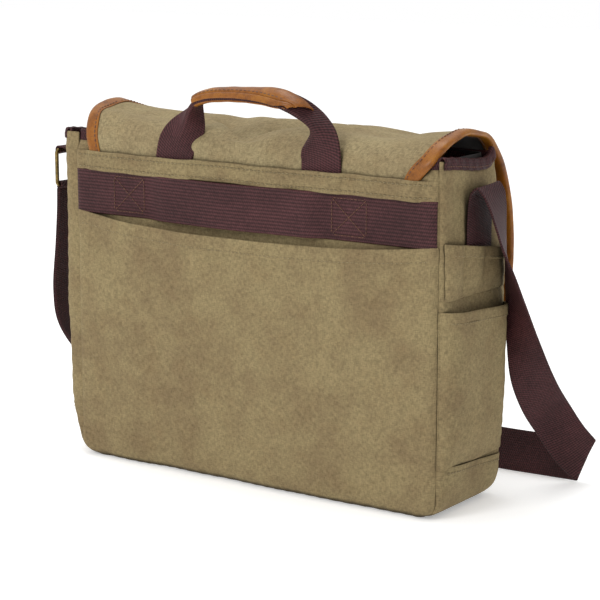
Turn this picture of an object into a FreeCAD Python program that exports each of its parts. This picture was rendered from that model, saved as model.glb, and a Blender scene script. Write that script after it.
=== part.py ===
import FreeCAD, Part
import math
import os

# Canvas messenger bag, in millimetres. The origin is the middle of the base, on the floor.
# +Z is up, the flap hangs down the front, which faces -Y, and +X is the side with the metal ring.

# Driving dimensions of the body
WIDTH = 380.0  # across the gussets' outer faces
DEPTH = 104.0  # across the base, back to front
GUSSET_TOP = 304.0  # the ends of the mouth
BACK_TOP = 302.0  # the back edge of the mouth
FRONT_TOP = 298.0  # the front edge of the mouth
CLOTH = 2.0  # canvas panel with its seam allowance
LINING_GAP = 0.4
LINING = 1.0
BASE_WRAP = 42.0  # how far the base strip comes up each gusset
WEBBING = 38.0  # width of the 1.5 inch webbing
WEB = 1.6  # its thickness
CLEAR = 0.3  # the least gap between pieces that move apart

HALF_W = WIDTH / 2
HALF_D = DEPTH / 2
FRONT_BELLY = HALF_D + 5.0  # the front panel at its fullest
FRONT_MOUTH = 38.0  # how far the front edge of the mouth is in front of the middle
TALL = GUSSET_TOP + 36.0  # the profiles run past the mouth and are trimmed there

# The back, from the panel outwards
BACK_Y = HALF_D
FLAP_ROOT_Y = BACK_Y + 0.2  # the flap is sewn on here
HANDLE_Y = FLAP_ROOT_Y + CLOTH + 0.1  # then the handle's ends
HEM_Y = HANDLE_Y + WEB + CLEAR  # and the hem covers both
HEM_LOW = 267.6
HEM_HIGH = 283.0
BAND_LOW = 229.0  # trolley band
BAND_HIGH = BAND_LOW + WEBBING
BAND_SEWN = [(-188.0, -88.0), (108.0, 188.0)]  # where it lies flat and is stitched down
BAND_STAND = 5.4  # how far the free middle stands off the back
POCKET_SIDE_TOP = 228.6  # slip pocket, which ends just under the band
POCKET_MIDDLE_TOP = 221.0
POCKET_STAND = 6.4

# Flap: stations from the mouth's back edge to the front fold, as y, height in the middle,
# height at the edges and half width
HINGE_Y = FLAP_ROOT_Y + 1.0
HINGE_Z = BACK_TOP + 1.5
FLAP_STATIONS = [
    (HINGE_Y - 1.0, 304.6, 304.8, 176.0),
    (36.0, 308.2, 312.5, 184.5),
    (10.0, 309.5, 322.0, 190.0),
    (-20.0, 309.5, 321.5, 191.5),
    (-46.0, 306.0, 312.0, 192.0),
    (-65.1, 300.4, 301.2, 192.0),
]
FLAP_THICK = 2.0
FOLD_Z = 299.4
FLAP_FRONT_Y = -69.5  # the middle of the hanging front's thickness
FLAP_BOTTOM = 100.0
FLAP_CORNER = 65.0
FLAP_HALF = 192.0
LEATHER = 11.0  # width of the leather edge
LEATHER_SKIN = 0.8  # its thickness on each face

# Handle
HANDLE_HINGE_Z = HEM_HIGH + 1.4
LEG_WIDTH = 38.0
GRIP_TALL = 16.0
GRIP_DEEP = 12.0

# Shoulder strap
STRAP_AXIS_Z = 265.0
RING_X = 241.0
RING_TOP = 277.0
RING_BOTTOM = 244.0
RING_WIRE = 1.8  # radius
RING_HALF = 21.6  # the side bars' centre lines
RING_CORNER = 3.5  # small, so that the webbing lies flat between the side bars
SLIDER_X = 62.0
SLIDER_Y = -134.0
SLIDER_Z = 23.0


def vec(x, y, z):
    return FreeCAD.Vector(x, y, z)


def box(x0, x1, y0, y1, z0, z1):
    return Part.makeBox(x1 - x0, y1 - y0, z1 - z0, vec(x0, y0, z0))


def rounded_wire(corners, place):
    """A closed outline of straight lines with round corners. Each corner is (a, b, radius),
    and place turns (a, b) into a point in space."""
    cuts = []
    count = len(corners)
    for i, (a, b, radius) in enumerate(corners):
        before = corners[i - 1]
        after = corners[(i + 1) % count]
        u = FreeCAD.Vector(before[0] - a, before[1] - b, 0).normalize()
        v = FreeCAD.Vector(after[0] - a, after[1] - b, 0).normalize()
        turn = u.getAngle(v)
        here = FreeCAD.Vector(a, b, 0)
        if radius <= 0 or abs(turn - math.pi) < 1e-3:
            cuts.append((here, here, here))
            continue
        reach = radius / math.tan(turn / 2)
        middle = (u + v).normalize()
        centre = here + middle * (radius / math.sin(turn / 2))
        cuts.append((here + u * reach, centre - middle * radius, here + v * reach))
    edges = []
    for i, (start, middle, end) in enumerate(cuts):
        if start.distanceToPoint(end) > 1e-6:
            arc = Part.Arc(place(start.x, start.y), place(middle.x, middle.y), place(end.x, end.y))
            edges.append(arc.toShape())
        following = cuts[(i + 1) % count][0]
        if end.distanceToPoint(following) > 1e-6:
            edges.append(Part.LineSegment(place(end.x, end.y), place(following.x, following.y)).toShape())
    return Part.Wire(edges)


def prism_yz(corners, x0, x1):
    """An outline of (y, z, radius) corners, extruded from x0 to x1."""
    wire = rounded_wire(corners, lambda y, z: vec(x0, y, z))
    return Part.Face(wire).extrude(vec(x1 - x0, 0, 0))


def prism_xz(corners, y0, y1):
    """An outline of (x, z, radius) corners, extruded from y0 to y1."""
    wire = rounded_wire(corners, lambda x, z: vec(x, y0, z))
    return Part.Face(wire).extrude(vec(0, y1 - y0, 0))


def sharp(points):
    return [(a, b, 0) for a, b in points]


def loft(sections):
    """A ruled solid through closed polygons with the same number of corners."""
    wires = [Part.makePolygon([vec(*p) for p in section] + [vec(*section[0])]) for section in sections]
    return Part.makeLoft(wires, True, True)


def inset(corners, t):
    """The outline moved inwards by t. The corners go round clockwise, seen with a to the right."""
    lines = []
    for i, (a, b, radius) in enumerate(corners):
        following = corners[(i + 1) % len(corners)]
        along = FreeCAD.Vector(following[0] - a, following[1] - b, 0).normalize()
        inwards = FreeCAD.Vector(along.y, -along.x, 0)
        lines.append((FreeCAD.Vector(a, b, 0) + inwards * t, along))
    moved = []
    for i, (a, b, radius) in enumerate(corners):
        p, u = lines[i - 1]
        q, v = lines[i]
        step = (q - p).cross(v).z / u.cross(v).z
        corner = p + u * step
        moved.append((corner.x, corner.y, max(radius - t, 0.0)))
    return moved


# Body

SIDE = [
    (BACK_Y, TALL, 0),
    (BACK_Y, 0, 12.0),
    (-HALF_D, 0, 22.0),
    (-FRONT_BELLY, 130.0, 150.0),
    (-FRONT_BELLY + 2.0, 205.0, 90.0),
    (-FRONT_MOUTH, FRONT_TOP, 0),
    (-FRONT_MOUTH + 8.0, TALL, 0),
]
END = [
    (HALF_W, TALL, 0),
    (HALF_W, 0, 14.0),
    (-HALF_W, 0, 14.0),
    (-HALF_W, TALL, 0),
]


def body_block(t):
    """The bag as one block, with every face moved in by t."""
    side = prism_yz(inset(SIDE, t), -HALF_W, HALF_W)
    end = prism_xz(inset(END, t), -HALF_W, HALF_W)
    return side.common(end)


def body_panels():
    """The canvas shell, open at the mouth, divided along its seams."""
    shell = body_block(0).cut(body_block(CLOTH))
    inside = HALF_W - CLOTH
    ends = {
        "gusset_left": box(inside, HALF_W, -99, 99, BASE_WRAP, GUSSET_TOP),
        "gusset_right": box(-HALF_W, -inside, -99, 99, BASE_WRAP, GUSSET_TOP),
    }
    panels = {name: shell.common(region) for name, region in ends.items()}
    floor = box(-inside, inside, -HALF_D + 18, HALF_D - 8, 0, CLOTH * 3)
    base = floor
    for side in (1, -1):
        x0, x1, x2 = side * (inside - 16), side * inside, side * HALF_W
        base = base.fuse(box(min(x1, x2), max(x1, x2), -99, 99, 0, BASE_WRAP))
        base = base.fuse(box(min(x0, x1), max(x0, x1), -HALF_D + 18, HALF_D - 8, 0, 16))
    panels["base_panel"] = shell.common(base)
    back = box(-inside, inside, 0, 99, 0, BACK_TOP).cut(base)
    front = box(-inside, inside, -99, 0, 0, FRONT_TOP).cut(base)
    panels["back_panel"] = shell.common(back)
    panels["front_panel"] = shell.common(front)
    return panels


BOARD_TOP = 5.8


def lining():
    outer = body_block(CLOTH + LINING_GAP)
    inner = body_block(CLOTH + LINING_GAP + LINING)
    above = box(-HALF_W, HALF_W, -99, 99, BOARD_TOP + 0.4, FRONT_TOP)
    hollow = inner.common(box(-HALF_W, HALF_W, -99, 99, BOARD_TOP + 0.4 + LINING, TALL))
    return outer.common(above).cut(hollow)


def base_board():
    return prism_xz([(172, 2.6, 0), (172, BOARD_TOP, 0), (-172, BOARD_TOP, 0), (-172, 2.6, 0)], -30, 40)


def laptop_divider():
    corners = [(180, 9, 6), (180, 236, 18), (-180, 236, 18), (-180, 9, 6)]
    return prism_xz(corners, 27, 34)


def mouth_binding():
    """Webbing folded over the mouth's edge, along both gussets and the front."""
    skin = 1.3
    inner = CLOTH + LINING_GAP + LINING + 0.3
    ends = []
    for side in (1, -1):
        outside = HALF_W + skin + 0.1
        x_out, x_in = side * outside, side * (HALF_W - inner - skin)
        strip = box(min(x_out, x_in), max(x_out, x_in), -34, 47, GUSSET_TOP - 12, GUSSET_TOP + 0.2 + skin)
        x_out, x_in = side * (HALF_W + 0.1), side * (HALF_W - inner)
        slot = box(min(x_out, x_in), max(x_out, x_in), -40, 48, GUSSET_TOP - 13, GUSSET_TOP + 0.2)
        ends.append(strip.cut(slot))
    lean = (FRONT_BELLY - 2.0 - FRONT_MOUTH) / (FRONT_TOP - 205.0)

    def folded(out, back, low, high):
        """A slice that leans with the front panel, from out in front of it to back behind it."""
        y = {z: -FRONT_MOUTH - lean * (FRONT_TOP - z) for z in (low, high)}
        corners = [(y[low] - out, low), (y[high] - out, high), (y[high] + back, high), (y[low] + back, low)]
        half = HALF_W - CLOTH - 3.5
        return prism_yz(sharp(corners), -half, half)

    strip = folded(skin + 0.1, inner + skin, FRONT_TOP - 12, FRONT_TOP + 0.2 + skin)
    slot = folded(0.1, inner, FRONT_TOP - 13, FRONT_TOP + 0.2)
    return Part.makeCompound(ends + [strip.cut(slot)])


# Back

def back_pocket():
    """Slip pocket across the whole back. It stands open and sags at the middle of its mouth."""
    low = 13.0
    sections = []
    steps = 12
    reach = HALF_W - 2.0
    for i in range(steps + 1):
        x = -reach + 2 * reach * i / steps
        full = 1 - (x / reach) ** 4
        top = POCKET_SIDE_TOP - (POCKET_SIDE_TOP - POCKET_MIDDLE_TOP) * (1 - (x / reach) ** 2)
        path = [(0.15, low), (0.8 * full, 60.0), (full, 120.0), (full, top)]
        inner = [(x, BACK_Y + 0.3 + POCKET_STAND * share, z) for share, z in path]
        outer = [(x, y + 1.5, z) for _, y, z in reversed(inner)]
        sections.append(inner + outer)
    return loft(sections)


def trolley_band():
    """Webbing across the back: flat at its stitched ends, and standing off the panel between.
    Each straight stretch is a solid of its own, and they meet face to face."""
    flat = BACK_Y + 0.3
    full = BACK_Y + 0.3 + BAND_STAND
    (left_end, left), (right, right_end) = BAND_SEWN
    path = [(left_end, flat), (left, flat), (left + 16, full), (right - 16, full), (right, flat), (right_end, flat)]
    sections = []
    for x, y in path:
        sections.append([(x, y, BAND_LOW), (x, y + WEB, BAND_LOW), (x, y + WEB, BAND_HIGH), (x, y, BAND_HIGH)])
    return Part.makeCompound([loft(pair) for pair in zip(sections, sections[1:])])


def top_hem():
    """Strip of canvas sewn over the root of the flap and the handle's ends."""
    thick = CLOTH - 0.4
    sections = []
    edge = HALF_W - 2.0
    for x, y in ((-edge, BACK_Y + 0.3), (-173.5, HEM_Y), (173.5, HEM_Y), (edge, BACK_Y + 0.3)):
        low, high = HEM_LOW, HEM_HIGH
        sections.append([(x, y, low), (x, y + thick, low), (x, y + thick, high), (x, y, high)])
    return loft(sections)


LEG_CENTRES = (77.5, -78.5)


def handle_tabs():
    """The handle's ends, sewn to the back under the hem."""
    tabs = []
    for centre in LEG_CENTRES:
        tabs.append(box(centre - LEG_WIDTH / 2, centre + LEG_WIDTH / 2, HANDLE_Y, HANDLE_Y + WEB,
                        HEM_LOW + 0.4, HANDLE_HINGE_Z - 1.1))
    return Part.makeCompound(tabs)


# Flap

def edge_band(plate, thick_plate, core):
    """The leather edge: a thicker plate without its core and without the canvas in it."""
    return thick_plate.cut(core).cut(plate)


def flap_root_plate(half_low, half_high, y0, y1):
    corners = [(half_low, HEM_LOW + 1, 0), (half_high, BACK_TOP - 0.2, 0),
               (-half_high, BACK_TOP - 0.2, 0), (-half_low, HEM_LOW + 1, 0)]
    return prism_xz(corners, y0, y1)


def flap_root():
    return flap_root_plate(168.0 - LEATHER, 175.5 - LEATHER, FLAP_ROOT_Y, FLAP_ROOT_Y + CLOTH)


def flap_root_binding():
    whole = flap_root_plate(168.0, 175.5, FLAP_ROOT_Y, FLAP_ROOT_Y + CLOTH)
    return whole.cut(flap_root_plate(168.0 - LEATHER, 175.5 - LEATHER, FLAP_ROOT_Y - 1, FLAP_ROOT_Y + CLOTH + 1))


def flap_top_block(inwards, above, below):
    """The top of the flap between two heights from its upper face, with its edges moved in."""
    shares = (-1.0, -0.75, -0.45, 0.0, 0.45, 0.75, 1.0)
    sections = []
    for y, middle, edge, half in FLAP_STATIONS:
        upper = []
        for share in shares:
            full = share * half
            z = middle + (edge - middle) * share ** 2
            upper.append((full * (half - inwards) / half, y, z))
        top = [(x, y, z + above) for x, y, z in upper]
        bottom = [(x, y, z - FLAP_THICK - below) for x, y, z in reversed(upper)]
        sections.append(top + bottom)
    return loft(sections)


def flap_top():
    return flap_top_block(1.0, 0, 0)


def flap_top_binding():
    """Leather over both side edges of the top of the flap."""
    return edge_band(flap_top_block(1.0, 0, 0), flap_top_block(0, LEATHER_SKIN, 0),
                     flap_top_block(LEATHER, 5, 5))


def flap_front_plate(inwards, outwards_y, inwards_y):
    half = FLAP_HALF - inwards
    low = FLAP_BOTTOM + inwards
    radius = FLAP_CORNER - inwards
    top = FOLD_Z - 2.4
    corners = [(half, top, 0), (half, low, radius), (-half, low, radius), (-half, top, 0)]
    return prism_xz(corners, FLAP_FRONT_Y - FLAP_THICK / 2 - outwards_y, FLAP_FRONT_Y + FLAP_THICK / 2 + inwards_y)


def flap_front():
    return flap_front_plate(1.0, 0, 0)


def flap_front_binding():
    core = flap_front_plate(LEATHER, 5, 5).fuse(
        box(-FLAP_HALF + LEATHER, FLAP_HALF - LEATHER, FLAP_FRONT_Y - 6, FLAP_FRONT_Y + 6, 200, FOLD_Z + 5))
    return edge_band(flap_front(), flap_front_plate(0, LEATHER_SKIN, LEATHER_SKIN), core)


# Front

FRONT_POCKET_OUT = 63.4  # how far its face is in front of the middle


def front_pocket():
    """Patch pocket on the front, under the flap."""
    low, high = 48.0, 200.0
    face = -FRONT_POCKET_OUT
    back = face + 1.8
    pocket = prism_yz(sharp([(face, low), (face, high), (back, high), (back, low)]), -150, 150)
    rim = []
    for x0, x1 in ((-150, -148), (148, 150)):
        rim.append(box(x0, x1, back, -50, low, high))
    rim.append(box(-148, 148, back, -50, low, low + 2))
    for piece in rim:
        pocket = pocket.fuse(piece)
    return pocket.cut(body_block(-0.1)).removeSplitter()


SNAP_X = 95.0
SNAP_Z = 140.0
SNAP_R = 9.0


def snap_discs(near, far):
    discs = []
    for x in (-SNAP_X, SNAP_X):
        discs.append(Part.makeCylinder(SNAP_R, far - near, vec(x, near, SNAP_Z), vec(0, 1, 0)))
    return Part.makeCompound(discs)


SNAP_MEET = -66.0


def snap_sockets():
    """Lower halves of the magnetic snaps, on the pocket."""
    return snap_discs(SNAP_MEET, -FRONT_POCKET_OUT - 0.05)


def snap_studs():
    """Upper halves of the magnetic snaps, on the flap."""
    return snap_discs(FLAP_FRONT_Y + FLAP_THICK / 2 + 0.05, SNAP_MEET - CLEAR)


# Gusset pockets, on the side away from the ring

def gusset_patch(outline, stand, thick, floor):
    """An open-topped patch pocket on the gusset at -X. outline is (y, z) from above."""
    x = -HALF_W - 0.2
    outer = prism_yz(sharp(outline), x - stand - thick, x)
    ys = [y for y, _ in outline]
    zs = [z for _, z in outline]
    room = box(x - stand, x + 1, min(ys) + thick, max(ys) - thick, min(zs) + floor, max(zs) + 1)
    return outer.cut(room)


ANCHOR_THICK = 1.6
PATCH_THICK = 1.4


def phone_pocket():
    outline = [(-50.5, BASE_WRAP + 2), (-50.5, 170), (49.5, 175), (49.5, BASE_WRAP + 2)]
    return gusset_patch(outline, 8.0, PATCH_THICK, 1.5)


def pen_pocket():
    """Three slots for pens, above the phone pocket and further in."""
    x = -HALF_W - 0.2 - ANCHOR_THICK - 0.2
    stand = 4.6
    outer = prism_yz(sharp([(-47, 188), (-47, 219), (47, 232), (47, 188)]), x - stand - PATCH_THICK, x)
    for y0, y1 in ((-45.6, -10.2), (-8.8, 22.2), (23.6, 45.6)):
        outer = outer.cut(box(x - stand, x + 1, y0, y1, 189.5, 240))
    return outer


# Shoulder strap

ANCHOR_Y = -2.0


def strap_anchor():
    """End of the strap, stitched to the gusset at -X."""
    x = -HALF_W - 0.2
    return box(x - ANCHOR_THICK, x, ANCHOR_Y - WEBBING / 2, ANCHOR_Y + WEBBING / 2, 178.0, 260.0)


def ring_tab_anchor():
    """End of the tab that holds the ring, stitched to the gusset at +X."""
    x = HALF_W + 0.2
    lower = box(x, x + WEB * 2, -WEBBING / 2, WEBBING / 2, 232.0, 268.0)
    root = box(x + WEB * 2 - 0.01, x + 12.0, -WEBBING / 2, WEBBING / 2, 263.4, 266.6)
    return lower.fuse(root).removeSplitter()


def ribbon(pairs, thick):
    """A ruled solid along a strap. Each pair is its front edge and back edge at one place, and
    the thickness is laid on square to the strap, half on each side."""
    centres = [(vec(*a) + vec(*b)) * 0.5 for a, b in pairs]
    sections = []
    for i, (a, b) in enumerate(pairs):
        before = centres[max(i - 1, 0)]
        after = centres[min(i + 1, len(pairs) - 1)]
        across = (vec(*b) - vec(*a)).normalize()
        out = (after - before).cross(across).normalize() * (thick / 2)
        corners = [vec(*a) - out, vec(*b) - out, vec(*b) + out, vec(*a) + out]
        sections.append([(p.x, p.y, p.z) for p in corners])
    return loft(sections)


# The strap's front and back edges, from the curl at its sewn end down to the crease on the floor
FALL = [
    ((-195.4, -21.0, 262.0), (-195.4, 17.0, 262.0)),
    ((-196.6, -21.0, 271.0), (-196.6, 17.0, 270.0)),
    ((-201.0, -21.0, 276.0), (-201.5, 17.0, 274.6)),
    ((-206.0, -20.6, 272.0), (-209.5, 17.0, 273.0)),
    ((-207.5, -21.0, 258.0), (-217.0, 16.0, 262.0)),
    ((-204.5, -28.0, 232.0), (-224.5, 4.0, 236.0)),
    ((-200.5, -42.0, 203.0), (-225.5, -15.5, 209.0)),
    ((-198.0, -54.0, 172.0), (-226.5, -35.0, 181.0)),
    ((-197.5, -64.0, 131.0), (-230.0, -55.5, 146.0)),
    ((-199.0, -77.0, 92.0), (-230.0, -78.0, 112.0)),
    ((-205.0, -96.0, 47.0), (-231.0, -107.0, 74.0)),
    ((-231.0, -122.0, 2.4), (-247.0, -128.5, 40.0)),
]

STRAP_LEAN = 0.6  # the run stands on its edge and leans by this much each way

# The run on the floor in front of the bag, from the crease to the left, as x, y and lift
FLOOR_RUN = [
    (-228.0, -124.4, 1.2),
    (-200.0, -124.0, 0.8),
    (-160.0, -122.0, 0.8),
    (-90.0, -128.0, 1.5),
    (-20.0, -133.0, 4.0),
    (20.0, SLIDER_Y, 4.0),
    (104.0, SLIDER_Y, 4.0),
    (140.0, -131.0, 2.5),
]

# Then it rises to the ring, as the front edge and the back edge
RISE = [
    ((178.0, -125.0, 0.8), (178.0, -120.0, 38.6)),
    ((210.0, -112.0, 1.2), (205.0, -101.0, 37.3)),
    ((234.0, -92.0, 8.0), (224.0, -69.0, 36.8)),
    ((248.0, -64.0, 30.0), (238.0, -36.0, 53.7)),
    ((253.0, -36.0, 70.0), (248.0, -2.0, 86.0)),
    ((252.0, -22.0, 110.0), (251.0, 15.5, 116.0)),
    ((251.0, -19.0, 142.0), (251.0, 19.0, 142.0)),
    ((246.5, -19.0, 190.0), (246.5, 19.0, 190.0)),
    ((243.6, -19.0, 226.0), (243.6, 19.0, 226.0)),
    ((243.0, -19.0, 240.0), (243.0, 19.0, 240.0)),
]


def floor_pairs():
    return [((x, y - STRAP_LEAN, lift), (x, y + STRAP_LEAN, lift + WEBBING)) for x, y, lift in FLOOR_RUN]


def shoulder_strap():
    """The strap's long ply, from the sewn end's curl round the floor to the ring, and its loop
    round the ring's lower bar. The crease at the floor divides it in two."""
    second = [((-229.0, -124.6, 1.2), (-243.0, -127.0, 38.8))]
    run = ribbon(second + floor_pairs()[1:] + RISE, WEB)
    return Part.makeCompound([ribbon(FALL, WEB), run, bar_loop(RING_BOTTOM)])


def strap_return():
    """The ply that comes back from the ring, inside the long one, to the slider."""
    gap = WEB + 0.25
    pairs = floor_pairs()[-2:] + RISE
    shifted = []
    centres = [(vec(*a) + vec(*b)) * 0.5 for a, b in pairs]
    for i, (a, b) in enumerate(pairs):
        along = centres[min(i + 1, len(pairs) - 1)] - centres[max(i - 1, 0)]
        out = along.cross(vec(*b) - vec(*a)).normalize() * -gap
        shifted.append((tuple(vec(*a) + out), tuple(vec(*b) + out)))
    return ribbon(shifted, WEB)


def bar_loop(z):
    """Webbing all the way round one of the ring's two level bars."""
    reach = RING_WIRE + CLEAR
    start = vec(RING_X, -WEBBING / 2, z)
    loop = Part.makeCylinder(reach + WEB, WEBBING, start, vec(0, 1, 0))
    return loop.cut(Part.makeCylinder(reach, WEBBING, start, vec(0, 1, 0)))


def ring_tab():
    """The tab's free part and its loop round the ring's top bar."""
    reach = RING_WIRE + CLEAR
    half = WEBBING / 2
    centre = vec(RING_X, -half, RING_TOP)
    loop = bar_loop(RING_TOP)
    x0 = HALF_W + 0.2 + 12.0 + CLEAR
    x1 = RING_X - reach
    z0 = STRAP_AXIS_Z
    z1 = RING_TOP
    corners = [(x0, z0 - WEB), (x0, z0 + WEB), (x1, z1 + WEB), (x1, z1 - WEB)]
    arm = prism_xz(sharp(corners), -half, half)
    arm = arm.cut(Part.makeCylinder(reach + 0.5, WEBBING, centre, vec(0, 1, 0)))
    return loop.fuse(arm).removeSplitter()


def bar_ring(corners, place, start, across, radius):
    """Round wire bent along an outline with round corners."""
    path = rounded_wire(corners, place)
    profile = Part.Wire(Part.makeCircle(radius, start, across))
    return path.makePipeShell([profile], True, True)


def strap_ring():
    corners = [(-RING_HALF, RING_BOTTOM, RING_CORNER), (-RING_HALF, RING_TOP, RING_CORNER),
               (RING_HALF, RING_TOP, RING_CORNER), (RING_HALF, RING_BOTTOM, RING_CORNER)]
    start = vec(RING_X, -RING_HALF, RING_BOTTOM + RING_CORNER)
    return bar_ring(corners, lambda y, z: vec(RING_X, y, z), start, vec(0, 0, 1), RING_WIRE)


def strap_slider():
    """Slide buckle: a frame in front of the strap, and a middle bar behind it."""
    y = SLIDER_Y
    room = WEB / 2 + STRAP_LEAN + CLEAR
    near = y - room
    wide, tall = 14.0, WEBBING / 2 + 3.4
    bar = 2.4
    frame = prism_xz([(SLIDER_X - wide, SLIDER_Z - tall, 3), (SLIDER_X - wide, SLIDER_Z + tall, 3),
                      (SLIDER_X + wide, SLIDER_Z + tall, 3), (SLIDER_X + wide, SLIDER_Z - tall, 3)], near - bar, near)
    window_tall = WEBBING / 2 + 0.6
    frame = frame.cut(box(SLIDER_X - wide + 3, SLIDER_X + wide - 3, near - 9, near + 9,
                          SLIDER_Z - window_tall, SLIDER_Z + window_tall))
    inner = y + room
    for side in (-1, 1):
        z0 = SLIDER_Z + side * window_tall
        z1 = SLIDER_Z + side * tall
        frame = frame.fuse(box(SLIDER_X - 2, SLIDER_X + 2, near - 0.5, inner + bar, min(z0, z1), max(z0, z1)))
    middle = box(SLIDER_X - 2, SLIDER_X + 2, inner, inner + bar, SLIDER_Z - window_tall, SLIDER_Z + window_tall)
    return frame.fuse(middle).removeSplitter()


# Handle

GRIP_LINE = [(57.0, 336.0), (40.0, 342.0), (18.0, 345.4), (-6.0, 346.4), (-30.0, 345.0), (-50.0, 341.0), (-66.0, 334.6)]
HANDLE_MIDDLE = HANDLE_Y + WEB / 2


def grip_block(tall, deep):
    """A bar of oval section along the grip's line."""
    sections = []
    count = 16
    for i, (x, z) in enumerate(GRIP_LINE):
        before = GRIP_LINE[max(i - 1, 0)]
        after = GRIP_LINE[min(i + 1, len(GRIP_LINE) - 1)]
        slope = math.atan2(after[1] - before[1], before[0] - after[0])
        oval = []
        for k in range(count):
            turn = 2 * math.pi * k / count
            up = tall / 2 * math.cos(turn)
            oval.append((x + up * math.sin(slope), HANDLE_MIDDLE + deep / 2 * math.sin(turn), z + up * math.cos(slope)))
        sections.append(oval)
    return loft(sections)


def handle_grip():
    return grip_block(GRIP_TALL, GRIP_DEEP).cut(grip_block(GRIP_TALL - 3.2, GRIP_DEEP - 3.2))


def handle_webbing():
    """Two legs of webbing that fold together into the grip."""
    core = grip_block(GRIP_TALL - 3.6, GRIP_DEEP - 3.6)
    legs = []
    for centre, side, grip in ((LEG_CENTRES[0], 1, GRIP_LINE[0]), (LEG_CENTRES[1], -1, GRIP_LINE[-1])):
        half = LEG_WIDTH / 2
        sections = []
        low = HANDLE_HINGE_Z + 0.2
        shape = [(low, centre, half, WEB), (low + 22, centre - side * 2, half - 1, WEB),
                 (grip[1] - 8, centre - side * 11, half - 7, 3.6), (grip[1], grip[0] + side * 3.5, 5.4, 6.0)]
        for z, x, wide, thick in shape:
            y0, y1 = HANDLE_MIDDLE - thick / 2, HANDLE_MIDDLE + thick / 2
            sections.append([(x - wide, y0, z), (x + wide, y0, z), (x + wide, y1, z), (x - wide, y1, z)])
        legs.append(loft(sections))
    whole = core.fuse(legs[0]).fuse(legs[1])
    return whole.cut(handle_grip())


def main():
    os.makedirs("parts", exist_ok=True)
    parts = body_panels()
    makers = [
        lining, base_board, laptop_divider, mouth_binding,
        back_pocket, trolley_band, top_hem, handle_tabs,
        flap_root, flap_root_binding, flap_top, flap_top_binding, flap_front, flap_front_binding,
        front_pocket, snap_sockets, snap_studs,
        phone_pocket, pen_pocket,
        strap_anchor, ring_tab_anchor, shoulder_strap, strap_return, ring_tab, strap_ring, strap_slider,
        handle_grip, handle_webbing,
    ]
    for maker in makers:
        parts[maker.__name__] = maker()
    for name, shape in parts.items():
        good = shape.isValid() and shape.Volume > 0
        print(name, "ok" if good else "BAD", len(shape.Solids), "solids", round(shape.Volume / 1000, 2), "cm3")
        shape.exportStep("parts/" + name + ".step")


main()
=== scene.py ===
"""Canvas messenger bag: the cloth, webbing, leather and metal that stand round its frame.

Lengths are in millimetres until a mesh is made, and the axes are the frame's: +Z up, the flap hangs
down the -Y side, the back faces +Y, and the metal ring is on the +X side.
"""

import logging
import math
from dataclasses import dataclass, field
from enum import Enum
from typing import Any, Callable, Sequence

import bpy
import numpy as np
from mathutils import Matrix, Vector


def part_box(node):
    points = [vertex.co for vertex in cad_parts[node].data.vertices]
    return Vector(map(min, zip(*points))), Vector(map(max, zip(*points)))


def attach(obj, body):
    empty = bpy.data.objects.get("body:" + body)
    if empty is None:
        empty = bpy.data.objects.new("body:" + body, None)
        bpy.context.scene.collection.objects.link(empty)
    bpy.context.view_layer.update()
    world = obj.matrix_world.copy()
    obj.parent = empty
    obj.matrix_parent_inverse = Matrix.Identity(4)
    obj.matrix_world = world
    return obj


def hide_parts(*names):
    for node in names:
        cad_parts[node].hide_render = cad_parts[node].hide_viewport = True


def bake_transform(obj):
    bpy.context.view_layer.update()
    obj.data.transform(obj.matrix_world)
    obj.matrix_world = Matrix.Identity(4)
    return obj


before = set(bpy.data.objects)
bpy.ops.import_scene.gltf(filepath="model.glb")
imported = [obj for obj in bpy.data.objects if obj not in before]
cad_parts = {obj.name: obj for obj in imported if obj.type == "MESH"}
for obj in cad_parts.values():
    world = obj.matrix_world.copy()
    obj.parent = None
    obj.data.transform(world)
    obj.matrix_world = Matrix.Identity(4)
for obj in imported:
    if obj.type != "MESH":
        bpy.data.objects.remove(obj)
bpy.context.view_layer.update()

LOG = logging.getLogger("messenger_bag")
MM = 0.001  # one millimetre in metres
Array = np.ndarray


# ---------------------------------------------------------------- numbers and curves


def box_mm(node: str) -> tuple[Array, Array]:
    """The lowest and highest corners of a frame node, in millimetres."""
    low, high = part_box(node)
    return np.array(low) / MM, np.array(high) / MM


def flowing(t: Array, stations: Sequence[float], values: Sequence) -> Array:
    """Values at t on a smooth curve through the stations.

    Between two stations the value follows a cubic, and its slope at each station is the slope of the
    parabola through that station and its two neighbours. Outside the stations it stays level.

    Args:
        t: where to read the curve, of any shape.
        stations: rising places where the curve is known.
        values: one number or one point for each station.

    Returns:
        One value for each t, with the shape of t followed by the shape of one value.
    """
    at = np.asarray(stations, float)
    known = np.asarray(values, float)
    slopes = np.gradient(known, at, axis=0)
    t = np.clip(np.asarray(t, float), at[0], at[-1])
    i = np.clip(np.searchsorted(at, t, side="right") - 1, 0, len(at) - 2)
    step = at[i + 1] - at[i]
    s = (t - at[i]) / step
    if known.ndim > 1:
        s, step = s[..., None], step[..., None]
    rise = s * s * (3 - 2 * s)
    return (
        known[i] * (1 - rise)
        + known[i + 1] * rise
        + slopes[i] * step * s * (1 - s) ** 2
        - slopes[i + 1] * step * s * s * (1 - s)
    )


def eased(t: Array) -> Array:
    """Zero below 0 and one above 1, with a level start and end between them."""
    t = np.clip(t, 0, 1)
    return t * t * (3 - 2 * t)


def dented(distance: Array, width: float) -> Array:
    """A bell of height one about zero distance, as wide as width at two fifths of its height."""
    return np.exp(-((distance / width) ** 2))


def unit(vectors: Array) -> Array:
    """The vectors at length one."""
    return vectors / np.maximum(np.linalg.norm(vectors, axis=-1, keepdims=True), 1e-9)


def spread(low: float, high: float, count: int) -> Array:
    """Numbers from low to high that crowd towards both ends, as a cosine does."""
    return low + (high - low) * (0.5 - 0.5 * np.cos(np.linspace(0, math.pi, count)))


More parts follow.
